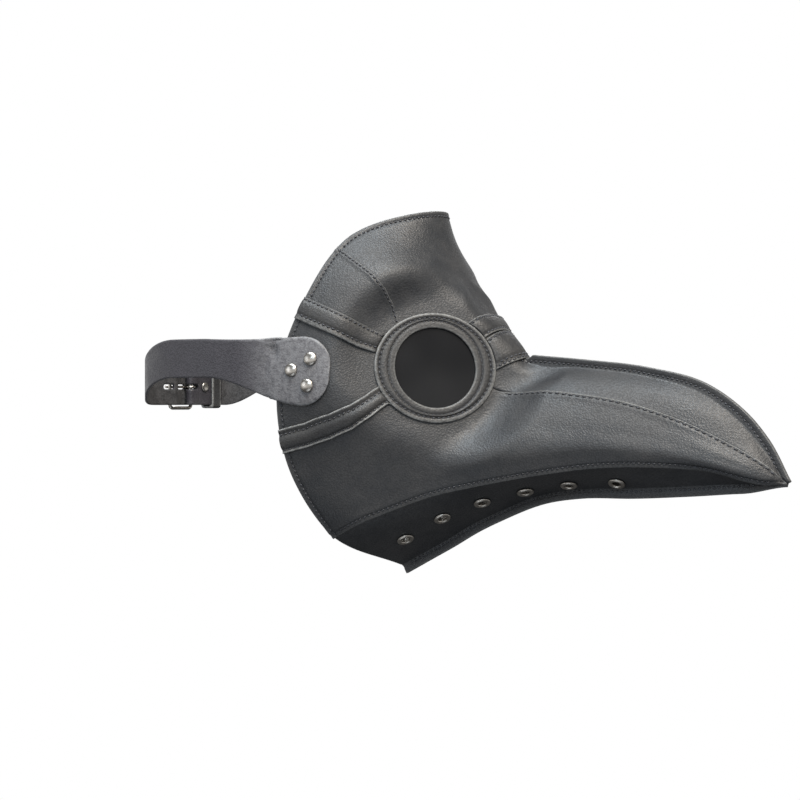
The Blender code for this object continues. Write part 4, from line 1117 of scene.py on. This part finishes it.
def strap_grid(route, stations, fall, side, round_tip):
    """The middle of a ribbon with upright sides along a plan route. On the panel it follows the leather."""
    distance = run_lengths(route)
    stations = np.append(stations[stations < distance[-1] - 0.3], distance[-1])
    x = np.interp(stations, distance, route[:, 0])
    y = np.interp(stations, distance, route[:, 1])
    high, low = strap_edges(stations, *fall)
    if round_tip:
        middle = (high + low) / 2
        left_over = np.clip((distance[-1] - stations) / 9, 0.03, 1)
        tip = (1 - (1 - left_over)**2)**0.5
        high = middle + (high - middle) * tip
        low = middle + (low - middle) * tip
    share = STRAP_ROWS[:, None]
    z = high * (1 - share) + low * share
    grid = np.stack([np.broadcast_to(x, z.shape), np.broadcast_to(y, z.shape), z], -1).copy()
    on_panel = grid[0, :, 0] > 12
    covered = grid[:, on_panel]
    inside = covered[..., [0, 2]].reshape(-1, 2).copy()
    inside[:, 0] = np.maximum(inside[:, 0], back_edge_x(inside[:, 1]) + 0.2)
    uv = from_side(inside)
    leather = point(uv[:, 0], uv[:, 1]).reshape(covered.shape)
    leather = leather + grid_normals(leather) * (LAY + STRAP / 2 + 0.05)
    follow = smooth(covered[..., 0], 14, 32)
    covered[..., 1] = side * (np.abs(leather[..., 1]) * follow + np.abs(covered[..., 1]) * (1 - follow))
    grid[:, on_panel] = covered
    return grid


def strap_stations(start_of_run, fine_start, fine_end, end):
    return np.unique(np.concatenate([
        [0.3, 0.6, 1.0, 1.5, 2.2, 3.0], np.arange(4, start_of_run, 2.0),
        np.arange(start_of_run, fine_start, 1.5), np.arange(fine_start, fine_end, 0.7),
        np.arange(fine_end, end, 1.5)]))


def run_start(route):
    """Distance along a route to where it first comes to the straight run."""
    from_start = np.linalg.norm(route - BUCKLE_START, axis=1)
    from_end = np.linalg.norm(route - BUCKLE_END, axis=1)
    return run_lengths(route)[np.argmin(np.minimum(from_start, from_end))]


def strap_piece(name, grid, skins):
    patch = Patch(grid)
    patch.lift(0.5 * softness(patch.base) * (1 - smooth(-patch.base[..., 0], 60, 80)))
    patch.lift(np.full(grid.shape[:2], STRAP / 2))
    edge = np.minimum(patch.top, patch.bottom)
    on_tab = smooth(patch.base[..., 0], 0, 30)
    ends = np.minimum(edge, patch.front)
    # Edges rubbed paler, more so on the tab. The whole tab is also painted paler: painted light for the light
    # that the tab catches.
    patch.wear_and_painted_light += (0.3 + 0.6 * on_tab) * bell(ends, 0.7) + 0.6 * on_tab
    return leather_piece(name, patch, STRAP, skins, rounding=0.5)


def build_straps(skins, nickel):
    right = right_route()
    begin = run_start(right)
    stations = strap_stations(begin, begin + 14, begin + 32, begin + 90)
    grid = strap_grid(right, stations, (FALL_START, begin), -1, True)
    made = strap_piece("strap_leather_right", grid, skins)
    holes = []
    for k in range(-1, 3):
        distance = USED_HOLE_AT + k * HOLE_PITCH
        holes.append(slot_cutter(distance, tongue_out(distance), HOLE_LENGTH, HOLE_WIDTH))
    finish_piece(pierced(made, holes), replaced=["strap_right"])

    left = left_route()
    begin = run_start(left)
    bar = begin + np.linalg.norm(BUCKLE_END - BUCKLE_START) - BAR_AT
    grid = strap_grid(left, strap_stations(begin, bar - 8, bar + 16, bar + 60), (FALL_START, begin), 1, False)
    made = strap_piece("strap_leather_left", grid[::-1], skins)
    at = (*run_point(FOLD_RIVET_AT, 0), BACK_RISE)
    out = (*BUCKLE_OUT, 0)
    holes = [slot_cutter(BAR_AT, 0, 9.0, PRONG_WIDTH), round_cutter(at, out, RIVET_POST, 12)]
    finish_piece(pierced(made, holes), replaced=["strap_left"])
    reach = FOLD_LAYER + STRAP / 2
    fold_rivet = rivet("rivet_cap_fold", at, out, reach, -reach, FOLD_RIVET_CAP, FOLD_RIVET_DOME,
                       nickel)
    finish_piece(fold_rivet, replaced=["rivet_fold"])


def tube(name, route, radius, skin, cyclic=False):
    """A wire along a route in mm."""
    curve = bpy.data.curves.new(name, "CURVE")
    curve.dimensions = "3D"
    curve.bevel_depth = radius * MM
    curve.bevel_resolution = 5
    curve.use_fill_caps = not cyclic
    spline = curve.splines.new("POLY")
    spline.points.add(len(route) - 1)
    for spot, where in zip(spline.points, route):
        spot.co = (*(Vector(where) * MM), 1)
    spline.use_cyclic_u = cyclic
    spline.use_smooth = True
    curve.materials.append(skin)
    return linked(name, curve)


def rounded_rectangle(length, height, radius, steps=8):
    """Points round a rectangle from 0 to length and centred in height, corners rounded."""
    corners = ((length - radius, height / 2 - radius, 0), (radius, height / 2 - radius, 90),
               (radius, radius - height / 2, 180), (length - radius, radius - height / 2, 270))
    points = []
    for x, y, start in corners:
        for step in range(steps + 1):
            angle = math.radians(start + 90 * step / steps)
            points.append((x + radius * math.cos(angle), y + radius * math.sin(angle)))
    return points


def build_frame(nickel):
    """The buckle's wire frame, round the bar in the fold."""
    reach = BAR_AT - TIP_BAR_AT
    points = []
    for back, up in rounded_rectangle(reach, 2 * FRAME_HALF, FRAME_CORNER):
        points.append((*run_point(BAR_AT - back, TIP_BAR_OUT * back / reach), BACK_RISE + up))
    wire = tube("buckle_wire_frame", points, BAR_RADIUS, nickel, cyclic=True)
    finish_piece(wire, "buckle_frame", ["buckle_frame"])


def build_prong(nickel):
    """A wire looped round the bar that reaches over the frame's far bar."""
    reach = BAR_AT - TIP_BAR_AT
    loop = []
    for degrees in range(-150, 91, 12):
        angle = math.radians(degrees)
        loop.append((-PRONG_LOOP * math.cos(angle), PRONG_LOOP * math.sin(angle)))
    tip_out = TIP_BAR_OUT + BAR_RADIUS + PRONG_RADIUS + 0.4
    loop += [(-4, PRONG_LOOP + 0.55), (-10, PRONG_LOOP + 1.25), (-reach + 2, tip_out - 0.1),
             (-reach - 1.6, tip_out)]
    points = [(*run_point(BAR_AT + forward, out), BACK_RISE) for forward, out in loop]
    prong = tube("buckle_wire_prong", points, PRONG_RADIUS, nickel)
    finish_piece(prong, "buckle_prong", ["buckle_prong"])


def build_keeper(skins):
    """A loop of leather round the strap and its fold, with a slightly crowned outside."""
    low = -(FOLD_LAYER + STRAP / 2 + KEEPER_PLAY)
    high = TONGUE_OUT + STRAP / 2 + KEEPER_PLAY
    height = 2 * (STRAP_HALF + KEEPER_PLAY_UP)
    loop = np.array(rounded_rectangle(high - low + 2 * KEEPER_WALL, height + 2 * KEEPER_WALL, KEEPER_CORNER))
    centre = np.array([(high - low) / 2 + KEEPER_WALL, 0])
    columns = KEEPER_COLUMNS - KEEPER_WIDTH / 2
    crown = KEEPER_CROWN * (1 - np.abs(columns / (KEEPER_WIDTH / 2))**3)
    both = np.concatenate([columns, columns[::-1]])
    depths = np.concatenate([crown, np.full(len(columns), -KEEPER_WALL)])
    ring = []
    for spot in loop:
        away = np.sign(spot - centre) * np.minimum(np.abs(spot - centre), 1)
        for column, depth in zip(both, depths):
            x, z = spot + away * depth
            ring.append((*run_point(KEEPER_AT + column, low - KEEPER_WALL + x), BACK_RISE + z))
    faces = quads(len(loop), len(both), closed_rows=True, closed_columns=True)
    keeper = mesh_object("keeper_loop", ring, faces, skins[:1])
    store_wear_and_painted_light(keeper, np.tile(bell(KEEPER_WIDTH / 2 - np.abs(both), 0.6), len(loop)))
    finish_piece(keeper, "keeper", ["strap_keeper"])


# --- Hardware ---
def rivet(name, at, out, front, back, cap, dome, skin):
    """A domed cap with a rolled edge in front, a post, and a flat cap behind."""
    low, high = back - 0.2, front + 0.1
    profile = []
    for degrees in range(0, 91, 9):
        angle = math.radians(degrees)
        profile.append((cap * math.sin(angle), high + 0.35 + dome * math.cos(angle)))
    profile += [(cap, high + 0.15), (cap * 0.95, high), (RIVET_POST, high), (RIVET_POST, low),
                (cap * 0.9, low), (cap * 0.95, low - 0.2), (cap * 0.9, low - 0.6), (cap * 0.6, low - 0.8),
                (0, low - 0.85)]
    return place(turned(name, profile, skin), at, out)


def eyelet(name, at, out, skin):
    """A barrel with a rolled rim in front and a turned edge behind."""
    back = -(LEATHER + 0.3)
    profile = []
    for degrees in range(180, -1, -12):
        angle = math.radians(degrees)
        profile.append((EYELET_RIM + EYELET_ROLL * (math.cos(angle) - 1), 0.75 + 0.95 * math.sin(angle)))
    profile += [(4.85, 0.35), (EYELET_BARREL, 0.3), (EYELET_BARREL, back), (4.2, back),
                (4.5, back - 0.25), (4.2, back - 0.55), (3.3, back - 0.8), (2.6, back - 0.7),
                (EYELET_BORE, back - 0.3), (EYELET_BORE, 0)]
    return place(turned(name, profile, skin, closed=True), at, out)


def build_eye(label, side, skins, thread, dark, backing):
    ring = eye_ring(label, side, skins)
    finish_piece(ring, replaced=["eye_ring_" + label])
    outer = whole_stitches(oval_line("out", RING_STITCH, 0.95), PITCH)
    stitches("stitches_eye_ring_" + label, [outer], thread, side)
    inner = whole_stitches(oval_line("in", LIP_STITCH, 1.1), LIP_PITCH)
    stitches("stitches_eye_lip_" + label, [inner], thread, side, LIP_PITCH, LIP_LENGTH, LIP_THREAD)
    centre = on_face_side(EYE, side)
    out = on_face_side(EYE_OUT, side)
    lens = place(turned("lens_pane_" + label, PANE_PROFILE, dark, 96), centre, out)
    finish_piece(lens, replaced=["lens_" + label])
    profile = [(RETAINER_BORE + RETAINER_BEVEL, RETAINER_LOW), (RETAINER_BORE, RETAINER_LOW + RETAINER_BEVEL),
               (RETAINER_BORE, RETAINER_HIGH), (RETAINER_RADIUS, RETAINER_HIGH),
               (RETAINER_RADIUS, RETAINER_LOW + RETAINER_BEVEL),
               (RETAINER_RADIUS - RETAINER_BEVEL, RETAINER_LOW)]
    keeper = place(turned("retainer_ring_" + label, profile, backing, 96, closed=True), centre, out)
    finish_piece(keeper, replaced=["lens_retainer_" + label])


# --- Materials ---
class Nodes:
    """Adds nodes to a material and links them."""

    def __init__(self, name):
        self.material = bpy.data.materials.new(name)
        self.material.use_nodes = True
        self.tree = self.material.node_tree
        self.shader = self.tree.nodes["Principled BSDF"]
        self.where = self.add("ShaderNodeTexCoord").outputs["Object"]

    def add(self, kind, **settings):
        node = self.tree.nodes.new(kind)
        for key, value in settings.items():
            setattr(node, key, value)
        return node

    def link(self, source, target):
        self.tree.links.new(source, target)

    def set(self, **values):
        for key, value in values.items():
            self.shader.inputs[key.replace("_", " ")].default_value = value

    def noise(self, scale, detail=3.0, roughness=0.5, where=None):
        node = self.add("ShaderNodeTexNoise")
        node.inputs["Scale"].default_value = scale
        node.inputs["Detail"].default_value = detail
        node.inputs["Roughness"].default_value = roughness
        self.link(where or self.where, node.inputs["Vector"])
        return node.outputs["Fac"]

    def pebbles(self, scale, where=None):
        node = self.add("ShaderNodeTexVoronoi", feature="SMOOTH_F1")
        node.inputs["Scale"].default_value = scale
        node.inputs["Smoothness"].default_value = 0.35
        self.link(where or self.where, node.inputs["Vector"])
        return node.outputs["Distance"]

    def levels(self, source, low, high, to_low=0.0, to_high=1.0):
        node = self.add("ShaderNodeMapRange", interpolation_type="SMOOTHSTEP")
        for name, value in (("From Min", low), ("From Max", high), ("To Min", to_low), ("To Max", to_high)):
            node.inputs[name].default_value = value
        self.link(source, node.inputs["Value"])
        return node.outputs["Result"]

    def math(self, operation, first, second):
        node = self.add("ShaderNodeMath", operation=operation)
        for source, socket in ((first, node.inputs[0]), (second, node.inputs[1])):
            if isinstance(source, (int, float)):
                socket.default_value = source
            else:
                self.link(source, socket)
        return node.outputs[0]

    def mix(self, factor, first, second):
        """A colour between two, each a colour or another node's output."""
        node = self.add("ShaderNodeMix", data_type="RGBA")
        self.link(factor, node.inputs["Factor"])
        for source, socket in ((first, node.inputs[6]), (second, node.inputs[7])):
            if isinstance(source, tuple):
                socket.default_value = (*source, 1)
            else:
                self.link(source, socket)
        return node.outputs[2]

    def bump(self, height, distance, strength=1.0, below=None):
        """A bump of a height in mm, on top of another."""
        node = self.add("ShaderNodeBump")
        node.inputs["Distance"].default_value = distance * MM
        node.inputs["Strength"].default_value = strength
        self.link(height, node.inputs["Height"])
        if below is not None:
            self.link(below, node.inputs["Normal"])
        return node.outputs["Normal"]

    def out(self, socket, source):
        self.link(source, self.shader.inputs[socket])


def leather_material(name, dark, light, worn_and_painted_light, rough=(0.36, 0.52), grain=950):
    """Pebbled artificial leather: rounded grains, slow changes of tone, paler rubbed edges, and the same pale
    colour as painted light where a mesh carries it, as on the strap's tab.
    """
    n = Nodes(name)
    tone = n.noise(28, 3)
    patches = n.noise(160, 4, 0.6)
    spots = n.math("ADD", n.math("MULTIPLY", tone, 0.6), n.math("MULTIPLY", patches, 0.4))
    base = n.mix(n.levels(spots, 0.36, 0.66), dark, light)
    cells = n.pebbles(grain)
    fine = n.noise(grain * 2.3, 2)
    pits = n.levels(cells, 0.30, 0.75)
    base = n.mix(n.math("MULTIPLY", pits, 0.35), base, tuple(0.45 * c for c in dark))
    # The attribute holds rubbed wear, and on the strap's tab painted light; both mix toward the pale colour.
    attribute = n.add("ShaderNodeAttribute", attribute_name="wear_and_painted_light")
    rub_and_painted_light = n.math("MULTIPLY", attribute.outputs["Fac"], n.levels(n.noise(420, 4, 0.65), 0.30, 0.62, 0.35, 1.0))
    base = n.mix(rub_and_painted_light, base, worn_and_painted_light)
    n.out("Base Color", base)
    shine = n.levels(spots, 0.35, 0.65, rough[0], rough[1])
    n.out("Roughness", n.math("ADD", shine, n.math("MULTIPLY", pits, 0.10)))
    grain_height = n.math("ADD", n.math("MULTIPLY", cells, -1.0), n.math("MULTIPLY", fine, 0.35))
    folds = n.bump(n.noise(95, 3, 0.55), 0.55, 0.5)
    n.out("Normal", n.bump(grain_height, 0.20, 0.75, folds))
    n.set(Specular_IOR_Level=0.34)
    return n.material


def thread_material():
    """Twisted black thread."""
    n = Nodes("black thread")
    twist = n.noise(1900, 2)
    n.out("Base Color", n.mix(n.levels(twist, 0.35, 0.65), (0.009, 0.009, 0.011), (0.036, 0.038, 0.046)))
    n.out("Roughness", n.levels(twist, 0.3, 0.7, 0.45, 0.7))
    n.out("Normal", n.bump(twist, 0.15, 0.6))
    return n.material


def nickel_material():
    """Nickel plate, slightly rubbed and dusty."""
    n = Nodes("nickel plate")
    cloud = n.noise(320, 4, 0.6)
    n.out("Base Color", n.mix(n.levels(cloud, 0.35, 0.7), (0.46, 0.43, 0.39), (0.26, 0.245, 0.22)))
    n.out("Roughness", n.levels(cloud, 0.3, 0.7, 0.24, 0.40))
    n.out("Normal", n.bump(n.noise(1400, 3, 0.6), 0.02, 0.5))
    n.set(Metallic=1.0)
    return n.material


def lens_material():
    """Dark tinted acrylic with faint smears."""
    n = Nodes("dark acrylic")
    smear = n.noise(16, 2, 0.5)
    n.out("Base Color", n.mix(n.levels(smear, 0.3, 0.7), (0.006, 0.006, 0.0065), (0.011, 0.011, 0.0115)))
    n.out("Roughness", n.levels(smear, 0.35, 0.7, 0.08, 0.14))
    n.set(Specular_IOR_Level=0.45)
    return n.material


def backing_material():
    """Black brushed cotton backing."""
    n = Nodes("black backing cloth")
    fuzz = n.noise(1300, 3, 0.6)
    nap = n.noise(240, 4, 0.65)
    shade = n.math("ADD", n.math("MULTIPLY", nap, 0.45), n.math("MULTIPLY", fuzz, 0.55))
    n.out("Base Color", n.mix(n.levels(shade, 0.38, 0.62), (0.012, 0.012, 0.013), (0.050, 0.049, 0.051)))
    n.out("Roughness", n.levels(nap, 0.3, 0.7, 0.8, 0.95))
    n.out("Normal", n.bump(shade, 0.30, 0.6))
    return n.material


def floor_material():
    n = Nodes("pale floor")
    n.out("Base Color", n.mix(n.levels(n.noise(1.5, 2), 0.3, 0.7), (0.78, 0.78, 0.78), (0.82, 0.82, 0.82)))
    n.set(Roughness=0.9)
    return n.material


# --- The whole mask ---
def both_sides(name, make, node, sheet, thread, nickel=None):
    """A panel or band with its stitches, on the right and mirrored to the left. Nickel adds the eyelets."""
    thickness, slot, skins = sheet
    patch, lines = make()
    for way, label in SIDES:
        made = leather_piece("%s_leather_%s" % (name, label), patch, thickness, skins, way)
        frames = [surface_frame(u, v, way) for u, v in EYELETS] if nickel else []
        if frames:
            pierced(made, [round_cutter(at, out, EYELET_BARREL - 0.1, 12) for at, out in frames])
        finish_piece(made, replaced=[node + label])
        stitches("stitches_%s_%s" % (name, label), lines, thread, way)
        for number, (at, out) in enumerate(frames, 1):
            ring = eyelet("eyelet_ring_%s_%d" % (label, number), at, out, nickel)
            finish_piece(ring, replaced=["eyelet_%s_%d" % (label, number)])


def on_middle(name, patch, lines, node, sheet, thread):
    """A panel or band across the middle, with its stitches."""
    thickness, slot, skins = sheet
    made = leather_piece(name, patch, thickness, skins)
    finish_piece(made, replaced=[node])
    stitches("stitches_" + name.replace("_leather", ""), lines, thread)


def strap_rivets(way, label, nickel):
    for number, (x, z) in enumerate(STRAP_RIVETS, 1):
        at, out = surface_frame(*from_side([(x, z)])[0], way)
        cap = rivet("rivet_cap_%s_%d" % (label, number), at, out, LAY + STRAP + 0.15, -LEATHER, RIVET_CAP,
                    RIVET_DOME, nickel)
        finish_piece(cap, replaced=["rivet_%s_%d" % (label, number)])


def build_mask():
    backing = backing_material()
    thread = thread_material()
    nickel = nickel_material()
    dark = lens_material()
    panel_skins = [leather_material("panel leather", (0.020, 0.021, 0.023), (0.031, 0.031, 0.032),
                                    (0.16, 0.16, 0.155)), backing]
    band_skins = [leather_material("band leather", (0.022, 0.022, 0.023), (0.034, 0.033, 0.032),
                                   (0.19, 0.19, 0.185)), backing]
    # The strap's pale colour serves both its rubbed edges and the painted light on its tab.
    strap_skins = [leather_material("strap leather", (0.028, 0.026, 0.031), (0.042, 0.039, 0.045),
                                    (0.16, 0.16, 0.165)), backing]
    panel = (LEATHER, "leather", panel_skins)
    band = (BAND, "band_leather", band_skins)

    on_middle("forehead_leather", *forehead(), "forehead_panel", panel, thread)
    for label, edges, angles, rows in BRIDGE_BANDS:
        on_middle("bridge_leather_" + label, *bridge_band(edges, angles, rows), "bridge_band_" + label,
                  band, thread)
    both_sides("temple", temple, "temple_panel_", panel, thread)
    both_sides("cheek", cheek, "cheek_panel_", panel, thread)
    both_sides("side", side, "side_panel_", panel, thread)
    both_sides("beak_top", beak_top, "beak_top_panel_", panel, thread)
    both_sides("beak_lower", beak_lower, "beak_lower_panel_", panel, thread, nickel)
    both_sides("brow_band", brow_band, "brow_band_", band, thread)
    both_sides("cheek_band", cheek_band, "cheek_band_", band, thread)

    build_straps(strap_skins, nickel)
    for way, label in SIDES:
        build_eye(label, way, band_skins, thread, dark, backing)
        strap_rivets(way, label, nickel)
    build_frame(nickel)
    build_prong(nickel)
    build_keeper(band_skins)


# --- Studio ---
CAMERA_AT = (0.77904, -1.39878, -0.01814)
CAMERA_TURN = 27
CAMERA_LENS = 120
CAMERA_SENSOR = 36
FLOOR_Z = -1.5
FLOOR_SIZE = 9
AIM = (0.15, 0, 0)           # the lights point here
# Each light: name, place, size, watts and colour.
LIGHTS = (
    ("key", (0.95, -0.75, 1.35), (1.2, 0.9), 52, (1.0, 0.90, 0.78)),
    ("top", (0.05, -0.55, 1.5), (1.4, 0.7), 40, (0.84, 0.93, 1.0)),
    ("side", (0.60, -1.55, 0.75), (1.2, 0.3), 9, (0.72, 0.87, 1.0)),
    ("fill", (-1.1, -1.2, 0.3), (0.9, 0.9), 4, (0.85, 0.92, 1.0)),
    ("under", (0.3, -0.9, -1.3), (1.2, 1.2), 6, (0.85, 0.92, 1.0)),
    ("back", (-0.6, 1.4, 1.0), (1.0, 0.8), 16, (1.0, 1.0, 1.0)),
)
# The surroundings' brightness from straight down (0) to straight up (1).
SURROUNDINGS = ((0.0, 0.10), (0.30, 0.14), (0.42, 1.0), (0.58, 1.0), (0.66, 0.22), (1.0, 0.30))


def area_light(name, at, size, power, colour):
    data = bpy.data.lights.new(name, "AREA")
    data.shape = "RECTANGLE"
    data.size, data.size_y = size
    data.energy = power
    data.color = colour
    light = linked(name, data)
    light.location = at
    light.rotation_euler = (Vector(AIM) - Vector(at)).to_track_quat("-Z", "Y").to_euler()


def build_surroundings(scene):
    """Soft even light that is strongest at eye level."""
    world = bpy.data.worlds.new("studio")
    world.use_nodes = True
    scene.world = world
    tree = world.node_tree
    where = tree.nodes.new("ShaderNodeTexCoord")
    split = tree.nodes.new("ShaderNodeSeparateXYZ")
    ramp = tree.nodes.new("ShaderNodeValToRGB")
    tree.links.new(where.outputs["Generated"], split.inputs[0])
    rise = tree.nodes.new("ShaderNodeMapRange")
    rise.inputs["From Min"].default_value = -1
    rise.inputs["From Max"].default_value = 1
    tree.links.new(split.outputs["Z"], rise.inputs["Value"])
    tree.links.new(rise.outputs["Result"], ramp.inputs["Fac"])
    while len(ramp.color_ramp.elements) < len(SURROUNDINGS):
        ramp.color_ramp.elements.new(0.5)
    for element, (position, value) in zip(ramp.color_ramp.elements, SURROUNDINGS):
        element.position = position
        element.color = (value, value, value, 1)
    background = tree.nodes["Background"]
    background.inputs["Strength"].default_value = 1.0
    tree.links.new(ramp.outputs["Color"], background.inputs["Color"])


def build_studio():
    scene = bpy.context.scene
    build_surroundings(scene)
    for light in LIGHTS:
        area_light(*light)

    bpy.ops.mesh.primitive_plane_add(size=FLOOR_SIZE, location=(0, 0, FLOOR_Z))
    floor = bpy.context.active_object
    floor.name = "floor"
    floor.data.materials.append(floor_material())
    floor.visible_diffuse = False
    floor.visible_glossy = False

    data = bpy.data.cameras.new("camera")
    data.lens = CAMERA_LENS
    data.sensor_width = CAMERA_SENSOR
    camera = linked("camera", data)
    camera.location = CAMERA_AT
    camera.rotation_euler = (math.pi / 2, 0, math.radians(CAMERA_TURN))
    scene.camera = camera
    scene.view_settings.view_transform = "Standard"


build_mask()
build_studio()
bpy.context.view_layer.update()
